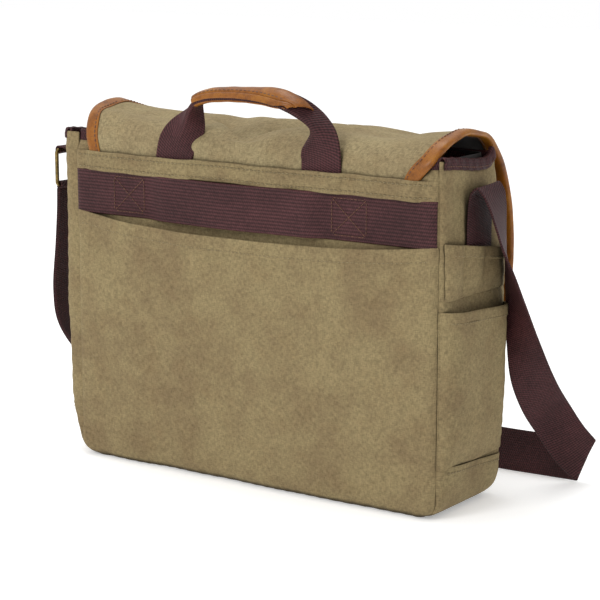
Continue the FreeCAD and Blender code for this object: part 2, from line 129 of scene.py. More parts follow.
def lengths_along(points: Array) -> Array:
    """The distance along a line of points, from its first to each."""
    steps = np.linalg.norm(np.diff(points, axis=0), axis=-1)
    return np.concatenate([[0.0], np.cumsum(steps)])


def ripples(a: Array, b: Array, seed: int, wave: float, height: float) -> Array:
    """Soft unevenness of washed cloth: eight sine waves that cross at angles drawn from a seed.

    Args:
        a: place along the cloth.
        b: place across it.
        seed: which cloth this is.
        wave: the middle wave's length.
        height: how far the cloth leaves its smooth face.

    Returns:
        The height of the cloth above its smooth face.
    """
    draw = np.random.default_rng(seed)
    total = np.zeros(np.broadcast(a, b).shape)
    for _ in range(8):
        turn, phase = draw.uniform(0, 2 * math.pi, 2)
        long = wave * draw.uniform(0.55, 1.9)
        total = total + np.sin((a * math.cos(turn) + b * math.sin(turn)) * 2 * math.pi / long + phase)
    return total * height / 4


def puckers(off_seam: Array, along: Array, seed: int, depth: float = 0.55) -> Array:
    """Gathers beside a line of stitches: waves along the seam that die out within a finger's width."""
    wavy = np.sin(along * 2 * math.pi / 13 + 2.2 * np.sin(along / 23 + seed) + seed)
    return depth * wavy * np.exp(-np.abs(off_seam) / 8)


# ---------------------------------------------------------------- meshes


@dataclass
class Shape:
    """A closed mesh in millimetres.

    points holds the vertices, faces holds arrays of quads, triangles or longer rings of vertex
    numbers, and flat holds where each vertex lay on the uncut cloth, in metres.
    """

    points: Array
    faces: list[Array]
    flat: Array

    def facing_out(self) -> "Shape":
        """The same mesh, turned round if the volume that its faces enclose comes out negative.

        Returns:
            The mesh.
        """
        volume = 0.0
        for ring in self.faces:
            corner = self.points[ring]
            for k in range(1, ring.shape[1] - 1):
                volume += np.einsum("ij,ij->", corner[:, 0], np.cross(corner[:, k], corner[:, k + 1]))
        if volume < 0:
            return Shape(self.points, [ring[:, ::-1] for ring in self.faces], self.flat)
        return self


def joined(shapes: Sequence[Shape]) -> Shape:
    """Several meshes as one.

    Args:
        shapes: the meshes.

    Returns:
        One mesh.
    """
    starts = np.cumsum([0] + [len(s.points) for s in shapes])
    faces = [ring + start for s, start in zip(shapes, starts) for ring in s.faces]
    points = np.concatenate([s.points for s in shapes])
    return Shape(points, faces, np.concatenate([s.flat for s in shapes]))


def flat_places(surface: Array) -> Array:
    """Where a grid of points lay on the flat cloth, in metres: the distances along its middle lines.

    Args:
        surface: the grid of points.

    Returns:
        Two numbers for each point.
    """
    along = lengths_along(surface[:, surface.shape[1] // 2])
    across = lengths_along(surface[surface.shape[0] // 2])
    across = across - across[-1] / 2
    return np.stack(np.meshgrid(along, across, indexing="ij"), -1) * MM


def grid_normals(surface: Array) -> Array:
    """Square to a grid of points: the cross product of the two ways in which the grid runs."""
    return unit(np.cross(np.gradient(surface, axis=0), np.gradient(surface, axis=1)))


def ring_faces(rows: int, around: int) -> Array:
    """The quads of a tube of rows rings with around points each.

    Args:
        rows: how many rings.
        around: how many points each has.

    Returns:
        Vertex numbers, four to a face.
    """
    i, j = np.meshgrid(np.arange(rows - 1), np.arange(around), indexing="ij")
    k = (j + 1) % around
    quads = np.stack([i * around + j, (i + 1) * around + j, (i + 1) * around + k, i * around + k], -1)
    return quads.reshape(-1, 4)


def sheet(surface: Array, thick: float | Array, soft_ends: bool = True) -> Shape:
    """A sheet of cloth with both faces and a rounded edge.

    Each face is the grid of points moved half the thickness along its normal, one each way. A ring of
    points half the thickness out from each long side rounds it, and a thinner last row beyond each end
    rounds that.

    Args:
        surface: the grid of points through the middle of the cloth, rows by columns by three.
        thick: the cloth's thickness, or one for each point of the grid.
        soft_ends: whether the first and last rows are rounded, or cut square to meet another piece.

    Returns:
        The closed mesh.
    """
    normals = grid_normals(surface)
    half = np.broadcast_to(np.asarray(thick, float) / 2, surface.shape[:2])[..., None]
    flat = flat_places(surface)
    if soft_ends:
        reach = 0.8 * half
        first = surface[:1] + unit(surface[:1] - surface[1:2]) * reach[:1]
        last = surface[-1:] + unit(surface[-1:] - surface[-2:-1]) * reach[-1:]
        surface = np.concatenate([first, surface, last])
        normals = np.concatenate([normals[:1], normals, normals[-1:]])
        half = np.concatenate([half[:1] * 0.4, half, half[-1:] * 0.4])
        flat = np.concatenate([flat[:1], flat, flat[-1:]])
    upper, lower = surface + normals * half, surface - normals * half
    near = surface[:, :1] + unit(surface[:, :1] - surface[:, 1:2]) * half[:, :1] * 0.8
    far = surface[:, -1:] + unit(surface[:, -1:] - surface[:, -2:-1]) * half[:, -1:] * 0.8
    rings = np.concatenate([upper, far, lower[:, ::-1], near], axis=1)
    places = np.concatenate([flat, flat[:, -1:], flat[:, ::-1], flat[:, :1]], axis=1)
    rows, around = rings.shape[:2]
    columns = surface.shape[1]
    j = np.arange(columns - 1)
    back = 2 * columns - j
    cap = np.stack([j, j + 1, back - 1, back], -1)
    tips = np.array([[columns - 1, columns, columns + 1], [2 * columns, 2 * columns + 1, 0]])
    end = (rows - 1) * around
    faces = [ring_faces(rows, around), cap, tips, cap[:, ::-1] + end, tips[:, ::-1] + end]
    return Shape(rings.reshape(-1, 3), faces, places.reshape(-1, 2)).facing_out()


def tube(rings: Array) -> Shape:
    """A closed body through rings of points, with a flat face over each end.

    Args:
        rings: rows by points around by three.

    Returns:
        The closed mesh.
    """
    rows, around = rings.shape[:2]
    loop = np.arange(around)[None, :]
    faces = [ring_faces(rows, around), loop, loop[:, ::-1] + (rows - 1) * around]
    return Shape(rings.reshape(-1, 3), faces, flat_places(rings).reshape(-1, 2)).facing_out()


@dataclass(frozen=True)
class Seam:
    """One kind of sewing: how far apart its stitches start, how long and how thick each is."""

    pitch: float = 4.2
    long: float = 3.1
    radius: float = 0.42

    def along(self, path: Array, normals: Array) -> Shape:
        """Stitches along a path.

        Each stitch is a five-sided body of four rings, thin where it enters the cloth and raised
        between, laid on the straight line between two places on the path.

        Args:
            path: points of the seam, on the cloth.
            normals: the way out of the cloth at each point.

        Returns:
            All the stitches as one mesh.
        """
        far = lengths_along(path)
        starts = np.arange(self.pitch / 2, far[-1] - self.long, self.pitch)
        share = np.array([0.0, 0.2, 0.8, 1.0])
        at = starts[:, None] + share * self.long
        centre = np.stack([np.interp(at, far, path[:, k]) for k in range(3)], -1)
        out = unit(np.stack([np.interp(at, far, normals[:, k]) for k in range(3)], -1))
        ahead = unit(centre[:, -1:] - centre[:, :1])
        side = unit(np.cross(ahead, out))
        centre = centre + out * (np.array([-0.5, 0.25, 0.25, -0.5]) * self.radius)[None, :, None]
        turn = np.linspace(0, 2 * math.pi, 5, endpoint=False)
        size = (self.radius * np.array([0.5, 1.0, 1.0, 0.5]))[None, :, None, None]
        ring = side[:, :, None] * np.cos(turn)[:, None] + out[:, :, None] * np.sin(turn)[:, None]
        points = (centre[:, :, None] + ring * size).reshape(-1, 3)
        first = (np.arange(len(starts)) * 20)[:, None, None]
        loop = np.arange(5)[None, :]
        walls = (ring_faces(4, 5)[None] + first).reshape(-1, 4)
        heads, tails = loop[None] + first, loop[:, ::-1] + 15 + first
        caps = np.concatenate([heads.reshape(-1, 5), tails.reshape(-1, 5)])
        return Shape(points, [walls, caps], points[:, :2] * MM).facing_out()


# ---------------------------------------------------------------- finishes


def linear(code: str) -> tuple[float, float, float, float]:
    """A colour written as sRGB hex, as the linear numbers that a shader takes."""
    parts = [int(code[i : i + 2], 16) / 255 for i in (1, 3, 5)]
    red, green, blue = [v / 12.92 if v <= 0.04045 else ((v + 0.055) / 1.055) ** 2.4 for v in parts]
    return red, green, blue, 1.0


def add_node(tree: Any, kind: str, inputs: dict | None = None, **settings: Any) -> Any:
    """Adds a node to a material.

    Args:
        tree: the material's node tree.
        kind: the node's type, without its ShaderNode prefix.
        inputs: what each input takes, by name or number: a number, a colour or another node's output.
        settings: the node's own properties.

    Returns:
        The node.
    """
    node = tree.nodes.new("ShaderNode" + kind)
    for key, value in settings.items():
        setattr(node, key, value)
    for key, value in (inputs or {}).items():
        if isinstance(value, bpy.types.NodeSocket):
            tree.links.new(value, node.inputs[key])
        else:
            node.inputs[key].default_value = value
    return node


# a Mix node that darkens one colour by another
MULTIPLY = {"data_type": "RGBA", "blend_type": "MULTIPLY"}


def coloured_ramp(tree: Any, share: Any, stops: Sequence[tuple[float, str]]) -> Any:
    """The colour that a share picks from a row of stops, each a place and an sRGB colour.

    Args:
        tree: the material's node tree.
        share: what picks the colour.
        stops: each colour's place and sRGB code, rising.

    Returns:
        The ramp's colour.
    """
    ramp = add_node(tree, "ValToRGB", {"Fac": share})
    elements = ramp.color_ramp.elements
    while len(elements) < len(stops):
        elements.new(1.0)
    for element, (place, code) in zip(elements, stops):
        element.position, element.color = place, linear(code)
    return ramp.outputs["Color"]


def waves_per(pitch: float) -> float:
    """The Wave Texture's scale for one wave every pitch millimetres, on coordinates in metres."""
    return 2 * math.pi / (20 * pitch * MM)


@dataclass(frozen=True)
class Finish:
    """What every finish has: a material's name, a slot name that nothing here reads, and its shader's
    settings.
    """

    name: str
    slot: str
    roughness: float = 0.8

    def paint(self, tree: Any) -> dict:
        """What the shader's inputs take; each finish says its own."""
        raise NotImplementedError

    def material(self) -> bpy.types.Material:
        """The material, made once.

        Returns:
            The material.
        """
        found = bpy.data.materials.get(self.name)
        if found:
            return found
        made = bpy.data.materials.new(self.name)
        made.use_nodes = True
        tree = made.node_tree
        tree.nodes.clear()
        shader = add_node(tree, "BsdfPrincipled", {"Roughness": self.roughness} | self.paint(tree))
        add_node(tree, "OutputMaterial", {"Surface": shader.outputs["BSDF"]})
        return made


@dataclass(frozen=True)
class WashedCanvas(Finish):
    """Heavy cotton canvas, plain woven and stone washed: matt, with slubs in both directions, a
    faint nap that lightens its grazing edges, and rubbed patches where the dye has gone browner.
    Its colour also carries painted shade: an ambient occlusion node darkens it in seams, gaps and
    creases, wherever another surface lies within 7 mm.
    The real threads are about 0.6 mm apart; they are drawn at twice that so that they show.
    """

    plain: str = "#847253"
    pale: str = "#93835F"
    worn: str = "#846A47"

    def paint(self, tree: Any) -> dict:
        """Mottling on the object's coordinates, threads on the flat cloth's, and painted shade from ambient
        occlusion.

        Args:
            tree: the material's node tree.

        Returns:
            What each of the shader's inputs takes.
        """
        place = add_node(tree, "TexCoord").outputs["Object"]
        flat = add_node(tree, "UVMap", uv_map="flat").outputs["UV"]
        cloud = add_node(tree, "TexNoise", {"Vector": place, "Scale": 24, "Detail": 7, "Roughness": 0.66})
        rubbed = add_node(tree, "TexNoise", {"Vector": place, "Scale": 34, "Detail": 7, "Roughness": 0.72})
        fleck = add_node(tree, "TexNoise", {"Vector": place, "Scale": 310, "Detail": 3, "Roughness": 0.6})
        threads = []
        for stretch in ((1250, 260, 1), (260, 1250, 1)):
            laid = add_node(tree, "Mapping", {"Vector": flat, "Scale": stretch})
            threads.append(add_node(tree, "TexNoise", {"Vector": laid.outputs[0], "Scale": 1, "Detail": 2}))
        weave = add_node(tree, "Math", {0: threads[0].outputs[0], 1: threads[1].outputs[0]}, operation="ADD")
        base = coloured_ramp(tree, cloud.outputs[0], [(0.36, self.plain), (0.6, self.pale)])
        patch = coloured_ramp(tree, rubbed.outputs[0], [(0.5, "#000000"), (0.68, "#7A7A7A")])
        tinted = add_node(
            tree, "Mix", {0: patch, 6: base, 7: linear(self.worn)}, data_type="RGBA", blend_type="MIX"
        )
        shade = add_node(
            tree, "MapRange", {"Value": weave.outputs[0], "From Min": 0.72, "From Max": 1.28, "To Min": 0.0}
        )
        grain = coloured_ramp(tree, shade.outputs[0], [(0.0, "#C4C4C4"), (0.5, "#EAEAEA"), (1.0, "#FFFFFF")])
        woven = add_node(tree, "Mix", {0: 0.85, 6: tinted.outputs[2], 7: grain}, **MULTIPLY)
        speck = coloured_ramp(tree, fleck.outputs[0], [(0.34, "#C2C2C2"), (0.58, "#FFFFFF")])
        dusty = add_node(tree, "Mix", {0: 0.5, 6: woven.outputs[2], 7: speck}, **MULTIPLY)
        # painted shade: ambient occlusion within 7 mm darkens the colour in seams, gaps and creases
        near = add_node(tree, "AmbientOcclusion", {"Distance": 7 * MM}, samples=8)
        painted_seam_shade = coloured_ramp(tree, near.outputs["AO"], [(0.3, "#6E6A62"), (0.85, "#FFFFFF")])
        final = add_node(tree, "Mix", {0: 1.0, 6: dusty.outputs[2], 7: painted_seam_shade}, **MULTIPLY)
        bump = add_node(tree, "Bump", {"Height": weave.outputs[0], "Strength": 0.5, "Distance": 0.5 * MM})
        return {
            "Base Color": final.outputs[2],
            "Normal": bump.outputs[0],
            "Sheen Weight": 0.25,
            "Sheen Roughness": 0.5,
            "Sheen Tint": linear(self.pale),
            "Specular IOR Level": 0.2,
        }


@dataclass(frozen=True)
class WovenWebbing(Finish):
    """Nylon webbing woven with raised cords: a dull plum brown with a low shine on each cord. Cords
    run along it every rib millimetres and the weft crosses them every weft millimetres, which is
    a little coarser than the real one so that both show.
    """

    dark: str = "#2F191A"
    light: str = "#583436"
    rib: float = 2.9
    weft: float = 1.7
    rib_depth: float = 0.62

    def paint(self, tree: Any) -> dict:
        """Cords and weft are waves on the flat cloth's coordinates, with a slow change of tone.

        Args:
            tree: the material's node tree.

        Returns:
            What each of the shader's inputs takes.
        """
        flat = add_node(tree, "UVMap", uv_map="flat").outputs["UV"]
        place = add_node(tree, "TexCoord").outputs["Object"]
        cords = add_node(
            tree, "TexWave", {"Vector": flat, "Scale": waves_per(self.rib), "Distortion": 0.4, "Detail": 1},
            wave_type="BANDS", bands_direction="Y",
        )
        turned = add_node(tree, "Mapping", {"Vector": flat, "Rotation": (0, 0, math.radians(24))})
        weft = add_node(
            tree, "TexWave", {"Vector": turned.outputs[0], "Scale": waves_per(self.weft), "Distortion": 0.8},
            wave_type="BANDS", bands_direction="X",
        )
        height = add_node(
            tree, "Mix", {0: self.rib_depth, 2: weft.outputs["Fac"], 3: cords.outputs["Fac"]},
            data_type="FLOAT",
        )
        fuzz = add_node(tree, "TexNoise", {"Vector": place, "Scale": 520, "Detail": 2})
        slow = add_node(tree, "TexNoise", {"Vector": place, "Scale": 22, "Detail": 4, "Roughness": 0.6})
        tone = add_node(tree, "Math", {0: height.outputs[0], 1: fuzz.outputs[0]}, operation="MULTIPLY")
        ramp = coloured_ramp(tree, tone.outputs[0], [(0.05, self.dark), (0.5, self.light)])
        drift = coloured_ramp(tree, slow.outputs[0], [(0.3, "#C8C8C8"), (0.7, "#FFFFFF")])
        colour = add_node(tree, "Mix", {0: 1.0, 6: ramp, 7: drift}, **MULTIPLY)
        bump = add_node(tree, "Bump", {"Height": height.outputs[0], "Strength": 0.75, "Distance": 0.55 * MM})
        return {
            "Base Color": colour.outputs[2],
            "Normal": bump.outputs[0],
            "Sheen Weight": 0.05,
            "Sheen Roughness": 0.35,
            "Sheen Tint": linear("#9A7A80"),
            "Specular IOR Level": 0.18,
        }


@dataclass(frozen=True)
class WaxedLeather(Finish):
    """Vegetable-tanned cowhide strip, waxed and burnished: warm tan with a soft gloss, a pebbled
    grain about 1.2 mm across, and darker creases and edges.
    """

    dark: str = "#5B320A"
    plain: str = "#874F11"
    light: str = "#A0691E"

    def paint(self, tree: Any) -> dict:
        """Grain from cell edges, tone from two sizes of noise, and wax as a thin coat.

        Args:
            tree: the material's node tree.

        Returns:
            What each of the shader's inputs takes.
        """
        place = add_node(tree, "TexCoord").outputs["Object"]
        cells = add_node(tree, "TexVoronoi", {"Vector": place, "Scale": 820}, feature="DISTANCE_TO_EDGE")
        tone = add_node(tree, "TexNoise", {"Vector": place, "Scale": 60, "Detail": 6, "Roughness": 0.65})
        pull = add_node(tree, "TexNoise", {"Vector": place, "Scale": 230, "Detail": 3})
        colour = coloured_ramp(
            tree, tone.outputs[0], [(0.28, self.dark), (0.47, self.plain), (0.72, self.light)]
        )
        pore = coloured_ramp(tree, cells.outputs["Distance"], [(0.0, "#A0A0A0"), (0.12, "#FFFFFF")])
        final = add_node(tree, "Mix", {0: 0.5, 6: colour, 7: pore}, **MULTIPLY)
        height = add_node(tree, "Math", {0: cells.outputs["Distance"], 1: pull.outputs[0]}, operation="ADD")
        bump = add_node(tree, "Bump", {"Height": height.outputs[0], "Strength": 0.35, "Distance": 0.4 * MM})
        return {
            "Base Color": final.outputs[2],
            "Normal": bump.outputs[0],
            "Coat Weight": 0.14,
            "Coat Roughness": 0.25,
            "Specular IOR Level": 0.25,
        }


@dataclass(frozen=True)
class SewingThread(Finish):
    """Bonded polyester thread, twisted from three plies: a slight shine with a slanting twist."""

    colour: str = "#4A2F22"
    shine: str = "#6E4A36"

    def paint(self, tree: Any) -> dict:
        """The twist is a fine noise of light and dark.

        Args:
            tree: the material's node tree.

        Returns:
            What each of the shader's inputs takes.
        """
        place = add_node(tree, "TexCoord").outputs["Object"]
        twist = add_node(tree, "TexNoise", {"Vector": place, "Scale": 900, "Detail": 1})
        ramp = coloured_ramp(tree, twist.outputs[0], [(0.35, self.colour), (0.65, self.shine)])
        return {"Base Color": ramp, "Specular IOR Level": 0.4}


@dataclass(frozen=True)
class LiningCloth(Finish):
    """Woven polyester lining, dark brown, with a fine diagonal rib and a faint sheen."""

    dark: str = "#120E0C"
    light: str = "#2A211D"

    def paint(self, tree: Any) -> dict:
        """A diagonal rib every 1.5 mm on the flat cloth, over a slow change of tone.

        Args:
            tree: the material's node tree.

        Returns:
            What each of the shader's inputs takes.
        """
        flat = add_node(tree, "UVMap", uv_map="flat").outputs["UV"]
        place = add_node(tree, "TexCoord").outputs["Object"]
        turned = add_node(tree, "Mapping", {"Vector": flat, "Rotation": (0, 0, math.radians(45))})
        rib = add_node(
            tree, "TexWave", {"Vector": turned.outputs[0], "Scale": waves_per(1.5), "Distortion": 0.6},
            wave_type="BANDS", bands_direction="X",
        )
        slow = add_node(tree, "TexNoise", {"Vector": place, "Scale": 40, "Detail": 4})
        tone = add_node(tree, "Math", {0: rib.outputs["Fac"], 1: slow.outputs[0]}, operation="MULTIPLY")
        ramp = coloured_ramp(tree, tone.outputs[0], [(0.0, self.dark), (0.6, self.light)])
        bump = add_node(tree, "Bump", {"Height": rib.outputs["Fac"], "Strength": 0.3, "Distance": 0.2 * MM})
        return {"Base Color": ramp, "Normal": bump.outputs[0], "Sheen Weight": 0.15, "Sheen Roughness": 0.4}


@dataclass(frozen=True)
class AntiqueBrass(Finish):
    """Zinc casting plated with brass, then darkened and relieved: dull in its hollows, rubbed
    bright in small scuffs, with a fine tumbled texture."""

    dark: str = "#4A3F28"
    bright: str = "#9C8550"

    def paint(self, tree: Any) -> dict:
        """Scuffs from noise change both the colour and the roughness.

        Args:
            tree: the material's node tree.

        Returns:
            What each of the shader's inputs takes.
        """
        place = add_node(tree, "TexCoord").outputs["Object"]
        scuff = add_node(tree, "TexNoise", {"Vector": place, "Scale": 210, "Detail": 6, "Roughness": 0.7})
        pits = add_node(tree, "TexNoise", {"Vector": place, "Scale": 1400, "Detail": 2})
        colour = coloured_ramp(tree, scuff.outputs[0], [(0.35, self.dark), (0.7, self.bright)])
        rough = add_node(
            tree, "MapRange",
            {"Value": scuff.outputs[0], "From Min": 0.3, "From Max": 0.7, "To Min": 0.5, "To Max": 0.28},
        )
        bump = add_node(tree, "Bump", {"Height": pits.outputs[0], "Strength": 0.15, "Distance": 0.1 * MM})
        return {
            "Base Color": colour,
            "Metallic": 1.0,
            "Roughness": rough.outputs[0],
            "Normal": bump.outputs[0],
        }


@dataclass(frozen=True)
class MouldedBoard(Finish):
    """Extruded polypropylene board: black, with the faint leather grain of the roller on it."""

    dark: str = "#0E0E0E"
    light: str = "#1C1B1A"

    def paint(self, tree: Any) -> dict:
        """Roller grain from cells, two millimetres across.

        Args:
            tree: the material's node tree.

        Returns:
            What each of the shader's inputs takes.
        """
        place = add_node(tree, "TexCoord").outputs["Object"]
        cells = add_node(tree, "TexVoronoi", {"Vector": place, "Scale": 500})
        ramp = coloured_ramp(tree, cells.outputs["Distance"], [(0.0, self.dark), (0.8, self.light)])
        height = cells.outputs["Distance"]
        bump = add_node(tree, "Bump", {"Height": height, "Strength": 0.3, "Distance": 0.2 * MM})
        return {"Base Color": ramp, "Normal": bump.outputs[0]}


@dataclass(frozen=True)
class PaintedFloor(Finish):
    """Matt white studio floor, rolled on and lit until it is as white as the wall."""

    def paint(self, tree: Any) -> dict:
        """A slow change of tone.

        Args:
            tree: the material's node tree.

        Returns:
            What each of the shader's inputs takes.
        """
        place = add_node(tree, "TexCoord").outputs["Object"]
        slow = add_node(tree, "TexNoise", {"Vector": place, "Scale": 3})
        tone = coloured_ramp(tree, slow.outputs[0], [(0.4, "#F9F9F8"), (0.6, "#FBFBFA")])
        return {"Base Color": tone, "Emission Color": (1, 1, 1, 1), "Emission Strength": 0.3}


CANVAS = WashedCanvas("cotton canvas, stone washed", "canvas", 0.92)
# painted light: the flap's copy of the canvas is paler, so that its colour carries the brighter light on the
# flap
FLAP_CANVAS = WashedCanvas(
    "cotton canvas, stone washed and rubbed", "canvas", 0.9,
    plain="#91805F", pale="#9F906C", worn="#927B52",
)
BAND_WEBBING = WovenWebbing("nylon webbing, ribbed", "webbing", 0.62)
STRAP_WEBBING = WovenWebbing(
    "nylon webbing, fine ribbed", "webbing", 0.6,
    rib=2.4, weft=1.9, rib_depth=0.3, dark="#291415", light="#583133",
)
LEATHER = WaxedLeather("cowhide, waxed and burnished", "leather", 0.42)
THREAD = SewingThread("polyester thread, bonded brown", "webbing", 0.55)
KHAKI_THREAD = SewingThread(
    "polyester thread, bonded khaki", "canvas", 0.6, colour="#6B5D41", shine="#8A7B58"
)
LINING = LiningCloth("polyester lining, twill woven", "lining", 0.7)
BRASS = AntiqueBrass("zinc alloy, antique brass plated", "brass", 0.4)
BOARD = MouldedBoard("polypropylene board, embossed", "board", 0.55)
FLOOR = PaintedFloor("studio floor, painted white", "board", 0.9)


# ---------------------------------------------------------------- pieces


@dataclass(frozen=True)
class Bend:
    """Cloth that crosses a joint, from body a before start to body b after end; its piece is left unattached
    to either body.
    """

    a: str
    b: str
    start: tuple[float, float, float]
    end: tuple[float, float, float]


class Hold(Enum):
    """How a sheet of cloth is held on the bag."""

    STRETCHED = "stretched"
    HUNG = "hung"
    FOLDED = "folded"


def make_piece(
    name: str, shape: Shape, finish: Finish, rides: str | Bend, stands_for: Sequence[str] = ()
) -> bpy.types.Object:
    """Turns a mesh into a piece of the bag.

    Args:
        name: the piece's name.
        shape: its mesh.
        finish: its material.
        rides: the body that it moves with, or a bend, for which the piece is left unattached.
        stands_for: the frame nodes that it replaces.

    Returns:
        The piece.
    """
    mesh = bpy.data.meshes.new(name)
    loops = np.concatenate([ring.ravel() for ring in shape.faces]).astype(np.int32)
    sizes = np.concatenate([np.full(len(ring), ring.shape[1]) for ring in shape.faces])
    starts = (np.cumsum(sizes) - sizes).astype(np.int32)
    mesh.vertices.add(len(shape.points))
    mesh.vertices.foreach_set("co", (shape.points * MM).astype(np.float32).ravel())
    mesh.loops.add(len(loops))
    mesh.loops.foreach_set("vertex_index", loops)
    mesh.polygons.add(len(sizes))
    mesh.polygons.foreach_set("loop_start", starts)
    mesh.update(calc_edges=True)
    mesh.uv_layers.new(name="flat").data.foreach_set("uv", shape.flat[loops].astype(np.float32).ravel())
    mesh.polygons.foreach_set("use_smooth", np.ones(len(sizes), bool))
    mesh.set_sharp_from_angle(angle=math.radians(50))
    mesh.materials.append(finish.material())
    piece = bpy.data.objects.new(name, mesh)
    bpy.context.scene.collection.objects.link(piece)
    if isinstance(rides, Bend):
        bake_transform(piece)
    else:
        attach(piece, rides)
    if stands_for:
        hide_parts(*stands_for)
    LOG.info("%s: %d faces", name, len(sizes))
    return piece


# ---------------------------------------------------------------- body


@dataclass
class Body:
    """The canvas shell: a strip that goes down one end, under the base and up the other, sewn all
    round to a back panel and a front panel."""

    half: float = field(default_factory=lambda: box_mm("gusset_left")[1][0])
    back: float = field(default_factory=lambda: box_mm("back_panel")[1][1])
    mouth: float = field(default_factory=lambda: box_mm("gusset_left")[1][2])
    low: float = 2.5
    corner: float = 14.0
    back_round: float = 12.0
    front_round: float = 22.0
    seam_in: float = 3.4
    base_top_back: float = 46.0
    base_top_front: float = 38.0
    cloth: float = 1.6

    def outline(self, p: Array) -> tuple[Array, Array, Array, Array]:
        """The bag's end view outline, from the middle of the base up to each end of the mouth.

        It is a straight base, a quarter circle and a straight side; p is the distance along it from
        the middle of the base, above zero towards the ring.

        Args:
            p: places along the outline.

        Returns:
            x, z, and the outward direction's x and z.
        """
        side, a = np.sign(p), np.abs(p)
        level = self.half - self.corner
        turn = np.clip((a - level) / self.corner, 0, math.pi / 2)
        x = np.minimum(a, level) + self.corner * np.sin(turn)
        above = np.maximum(a - level - self.corner * math.pi / 2, 0)
        z = self.low + self.corner * (1 - np.cos(turn)) + above
        return side * x, z, side * np.sin(turn), -np.cos(turn)

    def place_of(self, z: Array, side: int) -> Array:
        """How far along the outline a height on one side is."""
        level = self.half - self.corner
        return side * (level + self.corner * math.pi / 2 + np.asarray(z, float) - self.low - self.corner)

    def half_at(self, z: Array) -> Array:
        """Half the width of the back and front panels at a height, narrower at the round corners."""
        rise = np.clip(self.low + self.corner - z, 0, self.corner)
        return self.half - self.corner + np.sqrt(self.corner**2 - rise**2)

    def back_at(self, z: Array) -> Array:
        """y of the back panel at a height: a quarter circle at the foot, then straight up."""
        rise = np.clip(self.back_round - z, 0, self.back_round)
        return self.back - self.back_round + np.sqrt(self.back_round**2 - rise**2)

    def front_at(self, z: Array) -> Array:
        """y of the front panel at a height: a quarter circle at the foot, a belly, and the mouth.

        Args:
            z: heights.

        Returns:
            y at each height.
        """
        rise = np.clip(self.front_round - z, 0, self.front_round)
        foot = 30.6 + np.sqrt(self.front_round**2 - rise**2)
        belly = flowing(z, (22, 80, 130, 205, 260, 304), (0, 2.6, 4.2, 2.6, -6.5, -15.6))
        return -(foot + belly)

    def swell(self, p: Array) -> Array:
        """How far the strip stands out past its seams at each place along the outline.

        Args:
            p: places along the outline.

        Returns:
            How far out each place stands.
        """
        _, z, _, _ = self.outline(p)
        ring_side = flowing(z, (2.5, 18, 45, 90, 250, 304), (0.6, 8.0, 16.5, 20.0, 20.0, 18.0))
        pocket_side = flowing(z, (2.5, 18, 45, 90, 200, 304), (0.6, 4.5, 6.0, 6.5, 6.0, 3.0))
        return np.where(p > 0, ring_side, pocket_side)

    def strip(self, p: Array, w: Array, lift: float = 0.0, seed: int = 3) -> Array:
        """Points on the strip: w runs from its back seam, 0, to its front seam, 1.

        Each point is on the straight line between the seams, moved out by the swell times a rounded
        square's height, with gathers beside the seams and soft ripples between them.

        Args:
            p: places along the outline.
            w: shares of the way from the back seam to the front seam.
            lift: how far out the points are moved.
            seed: which cloth the ripples are drawn for.

        Returns:
            The points.
        """
        x, z, out_x, out_z = self.outline(p)
        back = self.back_at(z) - self.seam_in
        front = self.front_at(z) + self.seam_in
        y = back + (front - back) * w
        square = (1 - np.abs(2 * w - 1) ** np.where(p > 0, 12.0, 8.0)) ** (1 / 3)
        upright = eased((z - 6) / 30)
        soft = ripples(p, y, seed, 60, 0.9) * square
        gathers = puckers((y - back), p, seed) + puckers((front - y), p, seed + 2)
        out = self.swell(p) * square + (soft + gathers * square) * upright + lift
        return np.stack(np.broadcast_arrays(x + out_x * out, y, z + out_z * out), -1)

    def back_face(self, x: Array, z: Array) -> Array:
        """y of the back panel's outer face, which turns in to its seams within a few millimetres and
        leans in above the hem."""
        inside = self.half_at(z) - np.abs(x)
        lean = 5.0 * eased((z - 283) / 14)
        return self.back_at(z) - self.seam_in * np.exp(-inside / 2.2) - lean + ripples(x, z, 11, 80, 0.5)

    def gusset(self, side: int) -> Shape:
        """One end of the strip, from above the base's edge to the mouth.

        Args:
            side: one on the ring's side, minus one on the pockets'.

        Returns:
            The closed mesh.
        """
        w, k = np.meshgrid(spread(0, 1, 46), np.linspace(0, 1, 96))
        low = self.base_top_back + (self.base_top_front - self.base_top_back) * w - 8
        top = self.mouth - 5.0 - 5.0 * eased(w / 0.7) + 5.0 * dented(w - 1, 0.12)
        z = low + (top - low) * k
        surface = self.strip(self.place_of(z, side), w, 0.0, 3 + side)
        crumple = eased((z - 236) / 40) * np.sin(z / 4.6 + w * 7) * 0.9 * np.sin(math.pi * w)
        if side < 0:
            surface[..., 0] -= crumple
        return sheet(surface, self.cloth)

    def base(self) -> Shape:
        """The base and the strip that wraps up the foot of each end, lapped over the gussets.

        Returns:
            The closed mesh.
        """
        w, k = np.meshgrid(spread(0, 1, 46), np.linspace(-1, 1, 190))
        top = self.base_top_back + (self.base_top_front - self.base_top_back) * w
        p = k * self.place_of(top, 1)
        rim = 1 - np.abs(k)
        lap = (2.3 * eased((0.14 - rim) / 0.08) + 0.5 * dented(rim, 0.012)) * (1 - np.abs(2 * w - 1) ** 8)
        surface = self.strip(p, w, 0.0, 9)
        _, _, out_x, out_z = self.outline(p)
        surface[..., 0] += out_x * lap
        surface[..., 2] += out_z * lap * (np.abs(out_x) > 0.01)
        return sheet(surface, self.cloth)

    def base_seam(self, side: int) -> Shape:
        """The row of stitches that holds the base's edge to one gusset.

        Args:
            side: one on the ring's side, minus one on the pockets'.

        Returns:
            The closed mesh.
        """
        w = np.linspace(0.03, 0.97, 60)
        z = self.base_top_back + (self.base_top_front - self.base_top_back) * w - 4.5
        p = self.place_of(z, side)
        path = self.strip(p, w, self.cloth / 2 + 2.5, 9)
        _, _, out_x, _ = self.outline(p)
        out = np.stack([out_x, np.zeros_like(w), np.zeros_like(w)], -1)
        return Seam().along(path, out)

